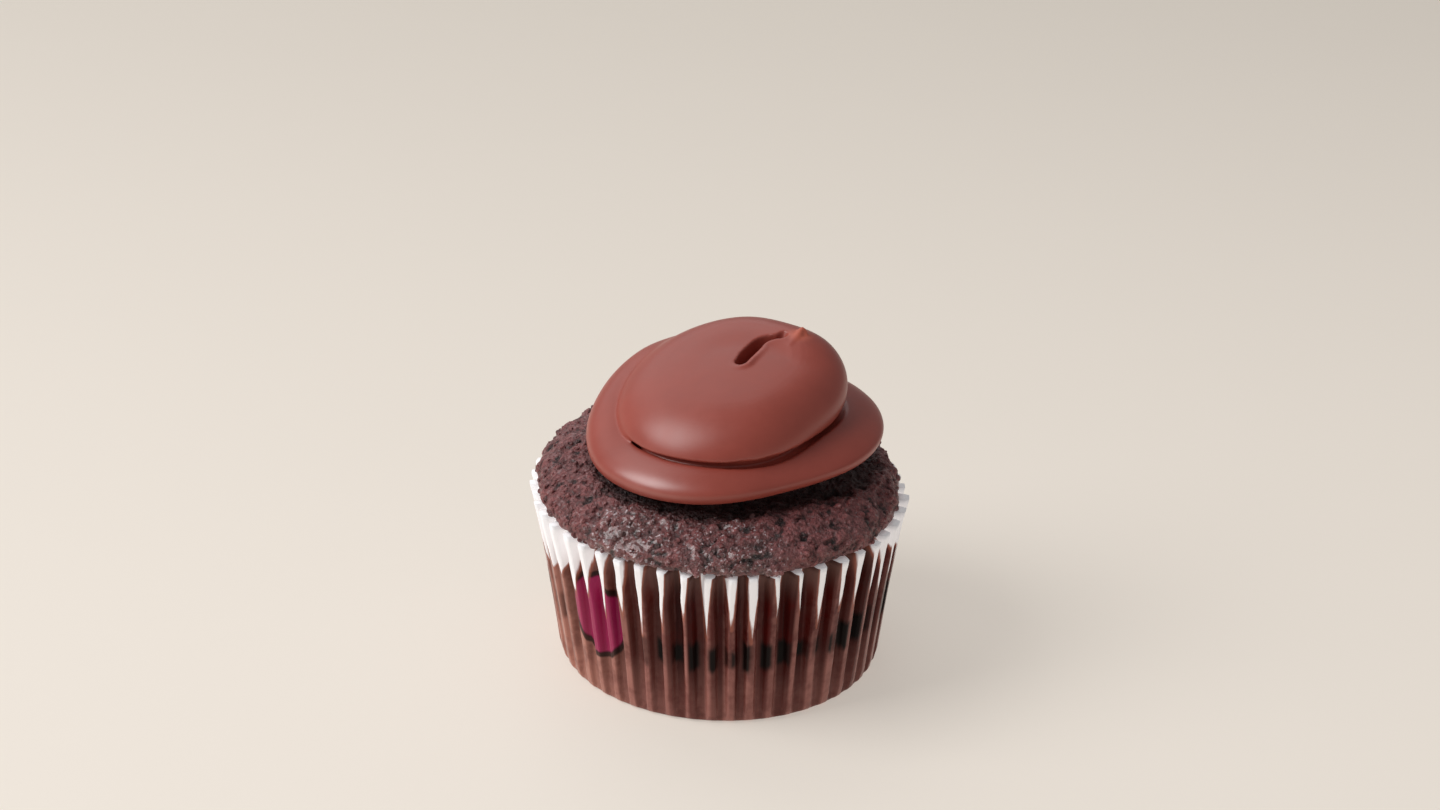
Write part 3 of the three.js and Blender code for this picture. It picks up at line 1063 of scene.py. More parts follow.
@dataclass
class PaperCase:
    """The pleated paper case: a plain cup, which Geometry Nodes then press into pleats.

    Attributes:
        uneven: How far the cupcake is from a true round.
        finish: The paper's finish.
        base_radius: Radius of the wall's foot over the pleats' crests.
        rim_radius: The same at the rim.
        height: Height of the rim.
        heel_radius: Radius of the bend from the base to the wall.
        heel_turns: How far round that bend each of its rows stands.
        flare: How far the rim turns out past a straight taper.
        paper: Thickness of the paper.
        pleats: How many pleats go round.
        columns_per_pleat: How many points go across a pleat.
        wall_rows: How many rows of points go up the wall.
        depth_at_heel: Depth of the pleats at the wall's foot.
        depth_at_rim: The same at the rim.
        fold_shut: How far back the inner skin stays, as a share of that depth.
        valley_start: Where a valley begins, as a share of the way from crest to valley.
        valley_full: Where it is full.
        valley_spread: How far both shares vary between pleats.
        wander: How far the pleats' spacing varies, in radians.
        depth_spread: How far their depth varies round the case, as a share.
        twist: How far single pleats turn aside on their way up, in radians.
        twist_size: Size of the noise that turns them, on a circle of one metre.
        proud_spread: How far some crests stand out past others at the rim.
        proud_middle: Chance value of a crest that stands at its plain radius.
        wrinkle: Depth of the wall's small wrinkles.
        wrinkle_size: Their size.
        fray: How far the rim's edge rises and falls.
        fray_size: Size of the noise that frays it, on a circle of one metre.
        seed: Picks the pleats' chance values.
    """

    uneven: Unevenness
    finish: PaperFinish
    base_radius: float = 28.2
    rim_radius: float = 32.9
    height: float = 31.3
    heel_radius: float = 1.3
    heel_turns: tuple[float, ...] = (22, 45, 68, 90)
    flare: float = 0.7
    paper: float = 0.16
    pleats: int = 50
    columns_per_pleat: int = 16
    wall_rows: int = 26
    depth_at_heel: float = 0.55
    depth_at_rim: float = 2.4
    fold_shut: float = 0.85
    valley_start: float = 0.26
    valley_full: float = 0.62
    valley_spread: tuple[float, float] = (0.12, 0.1)
    wander: float = 0.018
    depth_spread: float = 0.18
    twist: float = 0.03
    twist_size: float = 160.0
    proud_spread: float = 0.6
    proud_middle: float = 0.6
    wrinkle: float = 0.07
    wrinkle_size: float = 2.2
    fray: float = 0.3
    fray_size: float = 25.0
    seed: float = 4

    def crest_radius(self, height: float) -> float:
        """Radius of the pleats' crests: a straight taper that flares at the rim.

        Args:
            height: Where the radius is taken.

        Returns:
            The radius.
        """
        share = min(max(height / self.height, 0.0), 1.0)
        straight = self.base_radius + (self.rim_radius - self.flare - self.base_radius) * share
        return straight + self.flare * share**4

    def cup(self) -> bpy.types.Object:
        """The plain cup before it is pressed: two skins of paper, closed at the rim.

        Returns:
            The cup, which carries the skin that each point belongs to.
        """
        foot = self.base_radius - self.heel_radius
        outside = [(foot * 0.5, 0.0), (foot, 0.0)]
        for turn in (math.radians(degrees) for degrees in self.heel_turns):
            rise = self.heel_radius * (1 - math.cos(turn))
            outside.append((foot + self.heel_radius * math.sin(turn), rise))
        climb = np.linspace(self.heel_radius, self.height, self.wall_rows + 1)[1:]
        outside += [(self.crest_radius(z), z) for z in climb]
        inside = [(self.crest_radius(z) - self.paper, z) for z in climb[::-1]]
        inside += [(self.base_radius - self.paper, self.heel_radius), (foot, self.paper)]
        rows = [(0.0, 0.0), *outside, *inside, (0.0, self.paper)]
        columns = self.pleats * self.columns_per_pleat
        piece = add_piece("case_paper", *turned(rows, columns))
        skins = [Side.OUTSIDE.value] * (1 + len(outside) * columns)
        skins += [Side.INSIDE.value] * (len(inside) * columns + 1)
        carry(piece, "inside", np.array(skins))
        return piece

    def sizes(self) -> dict[str, float]:
        """The named sizes that the pressing takes, in metres and radians.

        Returns:
            The sizes, by the names of the tree's inputs.
        """
        lengths = {
            "Wall Height": self.height,
            "Heel": self.heel_radius,
            "Depth at Heel": self.depth_at_heel,
            "Depth at Rim": self.depth_at_rim,
            "Proud": self.proud_spread,
            "Lean": self.uneven.lean,
            "Wrinkle": self.wrinkle,
            "Fray": self.fray,
        }
        shares = {
            "Pleats": self.pleats,
            "Depth Spread": self.depth_spread,
            "Fold Shut": self.fold_shut,
            "Wander": self.wander,
            "Twist": self.twist,
            "Oval": self.uneven.oval,
            "Oval Angle": math.radians(self.uneven.oval_angle),
            "Lean Angle": math.radians(self.uneven.lean_angle),
            "Seed": self.seed,
        }
        return {name: length * MM for name, length in lengths.items()} | shares

    def pressing(self) -> Recipe:
        """The tree that presses the pleats: it moves every point of the cup by one rule.

        Returns:
            The tree.
        """
        recipe = Recipe("PressedPleats", self.sizes())
        canvas = recipe.canvas
        x, y, z = canvas.axes(recipe.place())
        angle = y.math("ARCTAN2", x)
        reach = (x * x + y * y) ** 0.5
        rise = (z / recipe["Wall Height"]).most(0.0).least(1.0)

        phase = angle * recipe["Pleats"] / TURN
        nearest = phase.math("ROUND")
        off_crest = (phase - nearest) * 2.0
        from_crest = off_crest.absolute()
        number = nearest.math("FLOORED_MODULO", recipe["Pleats"])
        chance = canvas.chance(number, recipe["Seed"])
        other = canvas.chance(number + SECOND_CHANCE, recipe["Seed"])
        start = other * self.valley_spread[0] + self.valley_start
        full = other * self.valley_spread[1] + self.valley_full
        valley = from_crest.eased(start, full)
        valley = valley.most(recipe.read("inside") * recipe["Fold Shut"])

        # Whole numbers of waves go round, so that every rule below closes on itself.
        swell = (angle * 5.0 + 2.0).sine() * (angle * 11.0).sine() * recipe["Depth Spread"] + 1.0
        rim_depth = recipe["Depth at Rim"] * swell
        depth = recipe["Depth at Heel"] + (rim_depth - recipe["Depth at Heel"]) * rise
        proud = (chance - self.proud_middle) * recipe["Proud"] * rise * valley.inverse()
        grain = canvas.vector(x, y, z * 0.3)
        wrinkle = canvas.noise(grain, self.wrinkle_size, detail=2.0, seed=2.0) * recipe["Wrinkle"]
        in_heel = (z / recipe["Heel"]).most(0.0).least(1.0)
        oval = ((angle - recipe["Oval Angle"]) * 2.0).cosine() * recipe["Oval"] + 1.0
        radius = (reach - (depth * valley - proud) * in_heel + wrinkle * in_heel) * oval

        round_place = canvas.vector(angle.cosine(), angle.sine(), rise * 0.5)
        bend = canvas.noise(round_place, self.twist_size, detail=2.0, seed=7.0) * rise
        drift = (angle * 3.0 + 1.0).sine() + (angle * 8.0 + 2.0).sine() * 0.6
        turn_to = angle + drift * recipe["Wander"] + bend * recipe["Twist"]
        lean = (angle - recipe["Lean Angle"]).cosine() * recipe["Lean"] * rise * rise
        ragged = canvas.noise(round_place, self.fray_size, detail=2.0, seed=9.0)
        height = z + lean + ragged * rise**6.0 * recipe["Fray"]
        pressed = canvas.vector(radius * turn_to.cosine(), radius * turn_to.sine(), height)
        geometry = recipe.moved(recipe["Geometry"], pressed)
        skew = (off_crest * math.pi).sine()
        kept = {"from_crest": from_crest, "skew": skew, "rise": rise, "chance": chance}
        for name, value in kept.items():
            geometry = recipe.store(geometry, name, value)
        recipe.finish(geometry, self.finish.material())
        return recipe

    def build(self) -> None:
        """Makes the case and hands it over."""
        piece = self.cup()
        self.pressing().apply(piece)
        hand_over(piece, "paper", "paper_case")


# The cake.


@dataclass(frozen=True)
class Crumb:
    """How the baked crumb stands up from the loaf: heights, each with the size of its pattern.

    Attributes:
        swell: Broad swells.
        lump: Lumps.
        grain: Grains on the lumps.
        pore: Pores, which go down.
        warp: How far the pattern is bent.
        middle: Height of a lump's edge, as a share of a lump.
        shows_from: Height from which the crumb shows in full.
        shows_over: Height over which it sets in below that.
    """

    swell: tuple[float, float] = (0.5, 8.0)
    lump: tuple[float, float] = (0.6, 2.6)
    grain: tuple[float, float] = (0.6, 1.3)
    pore: tuple[float, float] = (0.65, 2.2)
    warp: tuple[float, float] = (0.9, 3.0)
    middle: float = 0.45
    shows_from: float = 30.9
    shows_over: float = 1.5


@dataclass(frozen=True)
class LooseCrumbs:
    """The loose crumbs, which are strewn over the part of the crown that shows.

    Attributes:
        density: How many lie on a square metre.
        smallest: Radius of the smallest.
        largest: Radius of the largest.
        rarity: 1 if all sizes were alike common, more where large ones are rarer.
        raggedness: How far a crumb departs from a ball, as a share.
        lump_size: Size of that raggedness, on a ball of one metre.
        shows_from: Height where they begin.
        shows_over: Height over which they set in above that.
        clear: Radii between which they set in, outside the icing.
    """

    density: float = 0.25e6
    smallest: float = 0.18
    largest: float = 0.62
    rarity: float = 2.2
    raggedness: float = 0.45
    lump_size: float = 900.0
    shows_from: float = 30.6
    shows_over: float = 1.0
    clear: tuple[float, float] = (19.5, 21.5)


@dataclass
class Cake:
    """The uncut cake: a turned loaf, whose crumb Geometry Nodes then raise.

    Attributes:
        uneven: How far the cupcake is from a true round.
        finish: The crumb's finish.
        icing: The icing that rests on it.
        floor: Height of its underside, just above the paper.
        foot: Radius and height of its underside's edge, and of the side's first row.
        side: Radius and height of the side's rows, which stay behind the pleats.
        collar: Radius and height of the side's top rows, where it rises past the rim.
        collar_rows: How many rows go between the side and the collar.
        lip: Radius and height of the rows that round it over the rim.
        rim: Height of the paper's rim.
        crown_radius: Radius of the crown that shows.
        crown_start: Height of its edge.
        crown_height: How far its middle stands above that edge.
        crown_power: 2 for a true ellipse, more for a crown that is flatter on top.
        hidden_within: Radius inside which the icing hides the crown.
        hidden_rows: Radii of the few rows under the icing.
        bulge: How far the crown swells over the rim at its fullest.
        bulge_angle: Where that is.
        bulge_heights: Heights between which it sets in.
        channel_depth: How deep the icing has sunk into the crown.
        channel: Places past the icing's edge where that sets in and is full, and where it
            begins to end and is gone.
        shaded: Places past the icing's edge between which the painted shade under the icing ends.
        columns: How many points go round.
        crown_rows: How many rows of points lie over the crown that shows.
        seed: Picks the crumb's pattern.
        crumb: How the crumb is raised.
        loose: The loose crumbs.
    """

    uneven: Unevenness
    finish: CrumbFinish
    icing: "Icing"
    floor: float = 0.5
    foot: tuple[tuple[float, float], ...] = ((25.9, 0.5), (26.9, 1.6))
    side: tuple[tuple[float, float], ...] = ((27.5, 12.0), (28.3, 20.0), (28.8, 25.0))
    collar: tuple[tuple[float, float], ...] = ((28.9, 26.0), (29.6, 30.6))
    collar_rows: int = 12
    lip: tuple[tuple[float, float], ...] = ((30.4, 31.0), (30.8, 31.4), (31.1, 31.8))
    rim: float = 31.3
    crown_radius: float = 31.3
    crown_start: float = 32.3
    crown_height: float = 8.2
    crown_power: float = 2.3
    hidden_within: float = 16.5
    hidden_rows: tuple[float, ...] = (13.0, 8.0, 3.0)
    bulge: float = 1.5
    bulge_angle: float = -95
    bulge_heights: tuple[float, float] = (30.5, 32.0)
    channel_depth: float = 1.3
    channel: tuple[float, float, float, float] = (-7.0, -5.0, -3.2, 0.8)
    shaded: tuple[float, float] = (-2.4, 1.3)
    columns: int = 660
    crown_rows: int = 84
    seed: float = 11
    crumb: Crumb = Crumb()
    loose: LooseCrumbs = LooseCrumbs()

    def crown(self, radius: float) -> float:
        """Height of the smooth crown.

        Args:
            radius: Distance from the axis.

        Returns:
            The height.
        """
        share = min(radius / self.crown_radius, 1.0)
        rise = (1 - share**self.crown_power) ** (1 / self.crown_power)
        return self.crown_start + self.crown_height * rise

    def settled(self, angle: np.ndarray, radius: np.ndarray, height: np.ndarray) -> Rows:
        """Gives the loaf its oval plan, leaning rim and bulge, and sinks it under the icing.

        Args:
            angle: Angles of the loaf's points.
            radius: Their distances from the axis.
            height: Their heights.

        Returns:
            Their new distances and heights.
        """
        out = np.clip(radius / self.crown_radius, 0, 1)
        up = np.clip(height / self.rim, 0, 1)
        lean = self.uneven.lean_at(angle) * np.minimum(out, up) ** 2
        facing = np.clip(np.cos(angle - math.radians(self.bulge_angle)), 0, 1)
        bulge = self.bulge * facing * smoothstep(height, *self.bulge_heights)
        plan = radius * self.uneven.oval_at(angle) + bulge * smoothstep(out, 0.85, 1)
        past = self.past_icing(plan * np.cos(angle), plan * np.sin(angle))
        starts, full, ends, gone = self.channel
        channel = smoothstep(past, starts, full) * (1 - smoothstep(past, ends, gone))
        return plan, height + lean - self.channel_depth * channel * (up >= 1)

    def loaf(self) -> bpy.types.Object:
        """The smooth loaf. Its points lie close together only where its crumb shows.

        Returns:
            The loaf, which carries how much painted shade the icing casts on it.
        """
        collar = np.linspace(*self.collar, self.collar_rows)
        turns = np.linspace(0.0, 1.0, self.crown_rows)
        out = self.crown_radius - (self.crown_radius - self.hidden_within) * turns**1.9
        crown = [(radius, self.crown(radius)) for radius in (*out, *self.hidden_rows)]
        sides = [*self.foot, *self.side, *collar, *self.lip]
        rows = [(0.0, self.floor), *sides, *crown, (0.0, self.crown(0.0))]
        points, faces = turned(rows, self.columns, self.settled)
        piece = add_piece("cake_crumb", points, faces)
        past = self.past_icing(points[:, 0], points[:, 1])
        carry(piece, "covered", 1 - smoothstep(past, *self.shaded))
        return piece

    def past_icing(self, x: np.ndarray, y: np.ndarray) -> np.ndarray:
        """How far places in plan lie outside the icing's edge.

        Args:
            x: How far to the right they lie.
            y: How far to the back they lie.

        Returns:
            The distances, which are negative under the icing.
        """
        side, back = self.icing.ring.centre
        angle = np.arctan2(y - back, x - side)
        return np.hypot(x - side, y - back) - self.icing.ring_edge(angle)

    def baking(self, material: bpy.types.Material) -> Recipe:
        """The tree that raises the crumb: lumps, grains and pores, moved along the surface.

        Args:
            material: The crumb's material.

        Returns:
            The tree.
        """
        form = self.crumb
        lengths = {
            "Swell": form.swell[0],
            "Lump": form.lump[0],
            "Grain": form.grain[0],
            "Pore": form.pore[0],
            "Warp": form.warp[0],
            "Show From": form.shows_from,
            "Show Over": form.shows_over,
        }
        inputs = {name: length * MM for name, length in lengths.items()}
        recipe = Recipe("RaisedCrumb", inputs | {"Seed": self.seed})
        canvas = recipe.canvas
        place, seed = recipe.place(), recipe["Seed"]
        _, _, z = canvas.axes(place)
        swell = canvas.noise(place, form.swell[1], detail=1.0, seed=seed) * recipe["Swell"]
        warp = canvas.noise(place, form.warp[1], detail=1.0, seed=seed + 4.0) * recipe["Warp"]
        entries = {0: place, 1: canvas.vector(warp, warp, 0)}
        bent = canvas.result(canvas.node("ShaderNodeVectorMath", {"operation": "ADD"}, entries))
        lump = (form.middle - canvas.cells(bent, form.lump[1], seed=seed)) * 2.0
        grain = canvas.noise(bent, form.grain[1], detail=5.0, seed=seed + 1.0)
        pore = canvas.noise(bent, form.pore[1], detail=3.0, seed=seed + 2.0).eased(0.0, -0.5)
        shown = z.eased(recipe["Show From"] - recipe["Show Over"], recipe["Show From"])
        crumb = lump * recipe["Lump"] + grain * recipe["Grain"] - pore * recipe["Pore"]
        raised = recipe.pushed(recipe["Geometry"], recipe.normal(), (swell + crumb) * shown)
        height = lump * 0.3 + grain * 0.7 - pore
        recipe.finish(recipe.store(raised, "crumb_height", height), material)
        return recipe

    def crumbling(self, material: bpy.types.Material) -> Recipe:
        """The tree that strews crumbs: small ragged lumps, half sunk in the crown.

        Args:
            material: The crumb's material.

        Returns:
            The tree.
        """
        loose = self.loose
        near, far = loose.clear
        lengths = {
            "Smallest": loose.smallest,
            "Largest": loose.largest,
            "Show From": loose.shows_from,
            "Show Over": loose.shows_over,
            "Clear Of": near,
            "Full At": far,
        }
        inputs = {name: length * MM for name, length in lengths.items()}
        recipe = Recipe("StrewnCrumbs", inputs | {"Density": loose.density})
        canvas = recipe.canvas
        place = recipe.place()
        ball = canvas.node("GeometryNodeMeshIcoSphere", entries={"Radius": 1.0, "Subdivisions": 2})
        ragged = canvas.noise(place, loose.lump_size, detail=1.0, seed=2.0) * loose.raggedness
        crumb = recipe.pushed(canvas.result(ball, "Mesh"), place, ragged)
        x, y, z = canvas.axes(place)
        reach = (x * x + y * y) ** 0.5
        above = z.eased(recipe["Show From"], recipe["Show From"] + recipe["Show Over"])
        showing = above * reach.eased(recipe["Clear Of"], recipe["Full At"])
        spread = {
            "Mesh": recipe["Geometry"],
            "Density": showing * recipe["Density"],
            "Seed": int(self.seed),
        }
        settings = {"distribute_method": "RANDOM"}
        points = canvas.node("GeometryNodeDistributePointsOnFaces", settings, spread)
        spins = {"Max": (TURN, TURN, TURN), "Seed": 5}
        spin = canvas.node("FunctionNodeRandomValue", {"data_type": "FLOAT_VECTOR"}, spins)
        size = canvas.node("FunctionNodeRandomValue", {"data_type": "FLOAT"}, {"Seed": 6})
        share = canvas.result(size, 1) ** loose.rarity
        laid = {
            "Points": canvas.result(points, "Points"),
            "Instance": crumb,
            "Rotation": canvas.result(spin, 0),
            "Scale": recipe["Smallest"] + (recipe["Largest"] - recipe["Smallest"]) * share,
        }
        strewn = canvas.node("GeometryNodeInstanceOnPoints", entries=laid)
        recipe.finish(canvas.result(strewn), material)
        return recipe

    def build(self) -> None:
        """Makes the cake and its crumbs, and hands them over."""
        material = self.finish.material()
        cake = self.loaf()
        self.baking(material).apply(cake)
        crumbs = bpy.data.objects.new("cake_crumbs", cake.data.copy())
        bpy.context.scene.collection.objects.link(crumbs)
        self.crumbling(material).apply(crumbs)
        hand_over(cake, "crumb", "cake")
        hand_over(crumbs, "crumb")


# The icing.


@dataclass(frozen=True)
class Storey:
    """One turn of the icing's rope, laid in a round.

    Attributes:
        centre: Its middle in plan.
        radius: Its outer radius.
        half_width: Half the rope's width.
        half_height: Half the rope's height.
        middle: Height of the rope's middle.
        tilt: Rise to the right and to the back, for each millimetre.
        fullness: 2 for a true ellipse, more for a section that is flatter on top.
    """

    centre: tuple[float, float]
    radius: float
    half_width: float
    half_height: float
    middle: float
    tilt: tuple[float, float]
    fullness: float = 2.0

    def reach(self, turn: float) -> float:
        """How far out the section is at a turn, from its highest line."""
        out = math.cos(turn)
        return math.copysign(self.half_width * abs(out) ** (2 / self.fullness), out)

    def outline(self, steps_up: int, steps_past: int = 0) -> list[tuple[float, float]]:
        """The rope's section from its lowest point round the outside to its highest.

        Args:
            steps_up: How many steps go from the lowest point to the highest.
            steps_past: How many more steps go past the highest, down the inside.

        Returns:
            Radius and height of each step's point.
        """
        turns = [math.pi * (i / steps_up - 0.5) for i in range(steps_up + steps_past + 1)]
        inner = self.radius - self.half_width
        return [(inner + self.reach(t), self.half_height * math.sin(t)) for t in turns]

    def share_up(self, height: np.ndarray) -> np.ndarray:
        """How far a height is up the rope: 0 at its underside and 1 at its top."""
        return (height + self.half_height) / (2 * self.half_height)

    def settled(self, points: np.ndarray) -> np.ndarray:
        """Moves points from the storey's own axis to its place, and leans them.

        Args:
            points: The points.

        Returns:
            The points in their place.
        """
        placed = points.copy()
        lean = self.tilt[0] * points[:, 0] + self.tilt[1] * points[:, 1]
        placed[:, 0] += self.centre[0]
        placed[:, 1] += self.centre[1]
        placed[:, 2] += self.middle + lean
        return placed


@dataclass(frozen=True)
class Flat:
    """A flattened or hollowed place in a round.

    Attributes:
        angle: Where its middle is.
        depth: How much it takes there.
        spread: Angle from its middle to where it takes about a third of that.
    """

    angle: float
    depth: float
    spread: float

    def at(self, angle: np.ndarray) -> np.ndarray:
        """How much it takes at an angle.

        Args:
            angle: The angle, in radians.

        Returns:
            The amount, which fades to both sides.
        """
        half_turn = TURN / 2
        off = np.mod(angle - math.radians(self.angle) + half_turn, TURN) - half_turn
        return self.depth * np.exp(-((off / math.radians(self.spread)) ** 2))


@dataclass(frozen=True)
class Slit:
    """The slit left where the rope's end meets its own start.

    Attributes:
        route: Points in plan from the bun's middle to its edge.
        width: Its width at the bun's middle.
        depth: Its depth there.
        taper: Share of its width that is gone at its outer end.
        taper_span: Shares of its length between which that goes.
        shallowing: Share of its depth that is gone at its outer end.
        step: How far the rope's start stands proud of its end beside it.
        step_fade: Angle over which that step fades.
        step_rise: Angle in radians over which it rises again, before the slit.
        step_span: Shares of the bun's radius between which it sets in.
        top_span: Shares of the bun's height between which the slit sets in.
        lip: Height of the rounded rim that is pushed up in front of it.
        lip_off: How far that rim's crest is from the slit's edge.
        lip_width: How wide the rim is.
    """

    route: tuple[tuple[float, float], ...] = (
        (3.8, -1.4),
        (5.2, 1.5),
        (7.1, 4.1),
        (9.4, 4.7),
        (12.4, 4.1),
    )
    width: float = 2.0
    depth: float = 7.0
    taper: float = 0.75
    taper_span: tuple[float, float] = (0.3, 0.9)
    shallowing: float = 0.75
    step: float = 1.7
    step_fade: float = 150
    step_rise: float = 0.7
    step_span: tuple[float, float] = (0.2, 0.7)
    top_span: tuple[float, float] = (0.6, 0.9)
    lip: float = 0.4
    lip_off: float = 1.1
    lip_width: float = 0.55

    def seam(self, centre: tuple[float, float], reach: np.ndarray) -> np.ndarray:
        """Angle of the seam between start and end, at a distance from the bun's middle."""
        line = through(self.route, 12) - np.array(centre)
        return np.interp(reach, np.hypot(*line.T), np.unwrap(np.arctan2(*line.T[::-1])))

    def sink(self, points: np.ndarray) -> np.ndarray:
        """How far the bun's top sinks under each point: steep behind, rounded in front.

        Args:
            points: The points of the bun.

        Returns:
            How far each sinks, which is negative on the rim in front.
        """
        line = through(self.route, 16)
        along = np.gradient(line, axis=0)
        along /= np.linalg.norm(along, axis=1)[:, None]
        offset = points[:, None, :2] - line[None]
        nearest = np.argmin((offset**2).sum(-1), axis=1)
        gap = offset[np.arange(len(points)), nearest]
        way = along[nearest]
        far = np.maximum(np.linalg.norm(gap, axis=1), 1e-6)
        behind = (way[:, 0] * gap[:, 1] - way[:, 1] * gap[:, 0]) / far
        front = (1 - behind) / 2
        done = nearest / (len(line) - 1)
        blunt = 0.8 + 0.2 * smoothstep(done, 0, 0.2)
        half = 0.5 * self.width * (1 - self.taper * smoothstep(done, *self.taper_span)) * blunt
        soft = 0.12 + 0.22 * front
        pressed = 1 - smoothstep((far - half) / soft, -0.8, 1.0 + 0.3 * front)
        off_lip = (far - half - self.lip_off) / self.lip_width
        rim = np.exp(-(off_lip**2)) * front**2 * (1 - done) ** 2
        return self.depth * pressed * (1 - self.shallowing * done**2) - self.lip * rim


@dataclass(frozen=True)
class Tip:
    """The tip that was pulled up and torn off at the slit's outer end.

    Attributes:
        place: Where it stands.
        rows: Radius and height of its rows, from below.
        folds: How deep its three folds go, as a share of its radius.
        fold_turn: Angle by which they are turned, in radians.
        draw: How far it is drawn out towards the slit, as a share of its radius.
        draw_angle: Where the slit lies.
        lean: How far it leans to the right and to the back, for each millimetre up.
        columns: How many points go round.
    """

    place: tuple[float, float, float] = (14.0, 4.1, 57.1)
    rows: tuple[tuple[float, float], ...] = (
        (0.0, -2.4),
        (1.6, -2.0),
        (2.3, -0.8),
        (1.9, 0.3),
        (1.2, 1.1),
        (0.5, 1.9),
        (0.0, 2.2),
    )
    folds: float = 0.34
    fold_turn: float = 0.5
    draw: float = 0.4
    draw_angle: float = 210
    lean: tuple[float, float] = (0.3, 0.5)
    columns: int = 48

    def folded(self, angle: np.ndarray, radius: np.ndarray, height: np.ndarray) -> Rows:
        """Folds the tip and draws it out towards the slit.

        Args:
            angle: Angles of its points.
            radius: Their distances from its axis.
            height: Their heights.

        Returns:
            Their new distances and heights.
        """
        folds = self.folds * np.cos(3 * angle + self.fold_turn)
        drawn = self.draw * np.cos(angle - math.radians(self.draw_angle))
        return radius * (1 + folds + drawn), height

    def form(self) -> Form:
        """The tip's closed form, in its place.

        Returns:
            Its points and faces.
        """
        points, faces = turned(self.rows, self.columns, self.folded)
        for axis, lean in enumerate(self.lean):
            points[:, axis] += lean * np.clip(points[:, 2], 0, None)
        return points + np.array(self.place), faces


@dataclass
class Icing:
    """The icing: one piped rope, wound as a ring, a climb and a bun, fused and smoothed.

    Attributes:
        finish: The icing's finish.
        ring: The rope's first turn, which rests on the cake.
        bun: Its second turn, which closes over the first.
        ring_flat: Where the ring's plan is flattened.
        ring_slope: Where its section is straighter than round, as a share.
        flats: Where the bun's plan is flattened.
        crown: How far the bun's top swells.
        slit: The slit where the rope ends.
        tip: The torn tip beside it.
        climb_height: How far the rope climbs from ring to bun.
        climb_inward: How far it moves in on its way.
        climb_angles: Where the climb starts and is done, and where it sinks again and is gone.
        crease: How deep the crease between ring and bun goes.
        crease_inset: How far inside the bun's edge it begins.
        crease_blend: How far inside that it is full.
        tuck: How far the bun is tucked in over it.
        tuck_heights: Heights over the ring's top between which the tuck ends.
        shallow: Where that crease is shallower, as a share.
        pit: The small hollow at the crease's left end.
        pit_tuck: How far the bun is tucked in over it, as a share of its depth.
        undercut: How far the ring's underside is drawn in.
        undercut_heights: How far below its middle that sets in and is full.
        soft_beyond: Radii between which the extra softening sets in.
        soft_climb: Shares of the climb between which it sets in.
        blur: How far the whole skin is softened, and the climb's, in steps.
        wave: Height of the faint waves of poured icing.
        wave_size: Their size.
        voxel: Size of the grid on which the forms are fused.
        most_triangles: What the finished skin is thinned to.
        columns: How many points go round a turn of the rope.
        bun_rows: How many rows of points lie over the bun's flat top.
    """

    finish: IcingFinish
    ring: Storey = Storey(
        centre=(2.9, -1.0),
        radius=25.8,
        half_width=7.2,
        half_height=3.75,
        middle=42.0,
        tilt=(0.05, 0.0),
    )
    bun: Storey = Storey(
        centre=(2.6, -0.9),
        radius=20.3,
        half_width=10.0,
        half_height=5.4,
        middle=48.0,
        tilt=(0.115, 0.13),
        fullness=2.8,
    )
    ring_flat: Flat = Flat(angle=-64, depth=3.3, spread=36)
    ring_slope: Flat = Flat(angle=-45, depth=0.7, spread=55)
    flats: tuple[Flat, ...] = (
        Flat(angle=-38, depth=2.1, spread=34),
        Flat(angle=52, depth=1.9, spread=30),
    )
    crown: float = 2.4
    slit: Slit = Slit()
    tip: Tip = Tip()
    climb_height: float = 7.6
    climb_inward: float = 0.8
    climb_angles: tuple[float, float, float, float] = (215, 132, 95, 50)
    crease: float = 1.0
    crease_inset: float = 0.3
    crease_blend: float = 0.8
    tuck: float = 1.7
    tuck_heights: tuple[float, float] = (-0.3, 0.5)
    shallow: Flat = Flat(angle=30, depth=0.85, spread=45)
    pit: Flat = Flat(angle=206, depth=1.2, spread=6)
    pit_tuck: float = 0.4
    undercut: float = 3.8
    undercut_heights: tuple[float, float] = (1.2, 4.0)
    soft_beyond: tuple[float, float] = (15.0, 17.0)
    soft_climb: tuple[float, float] = (0.4, 0.95)
    blur: tuple[int, int] = (2, 48)
    wave: float = 0.12
    wave_size: float = 11.0
    voxel: float = 0.2
    most_triangles: int = 190_000
    columns: int = 420
    bun_rows: int = 84

    @property
    def ring_crest(self) -> float:
        """Radius of the ring's highest line."""
        return self.ring.radius - self.ring.half_width

    def ring_edge(self, angle: np.ndarray) -> np.ndarray:
        """The ring's outer radius at an angle: less over its flat."""
        return self.ring.radius - self.ring_flat.at(angle)

    def climb(self, angle: np.ndarray) -> np.ndarray:
        """How far the rope has climbed.

        Args:
            angle: Angle round the ring, in radians.

        Returns:
            The share of the climb, from 0 to 1.
        """
        starts, done, sinks, gone = (math.radians(value) for value in self.climb_angles)
        angle = np.mod(angle, TURN)
        return (1 - smoothstep(angle, done, starts)) * smoothstep(angle, gone, sinks)

    def reach(self, angle: np.ndarray) -> np.ndarray:
        """The bun's radius at an angle: less over its flats."""
        return self.bun.radius - sum(flat.at(angle) for flat in self.flats)

    def open_crease(self, angle: np.ndarray) -> np.ndarray:
        """How open the crease between ring and bun is: shut by the climb, shallow at the right."""
        return (1 - self.climb(angle)) * (1 - self.shallow.at(angle))

    def ring_top(self, angle: np.ndarray) -> np.ndarray:
        """Height of the ring's top where the bun rests on it.

        Args:
            angle: Angle round the bun, in radians.

        Returns:
            The height, from the bun's own middle.
        """
        side, back = (b - r for b, r in zip(self.bun.tilt, self.ring.tilt))
        lean = self.bun.radius * (side * np.cos(angle) + back * np.sin(angle))
        return self.ring.middle + self.ring.half_height - self.bun.middle - lean

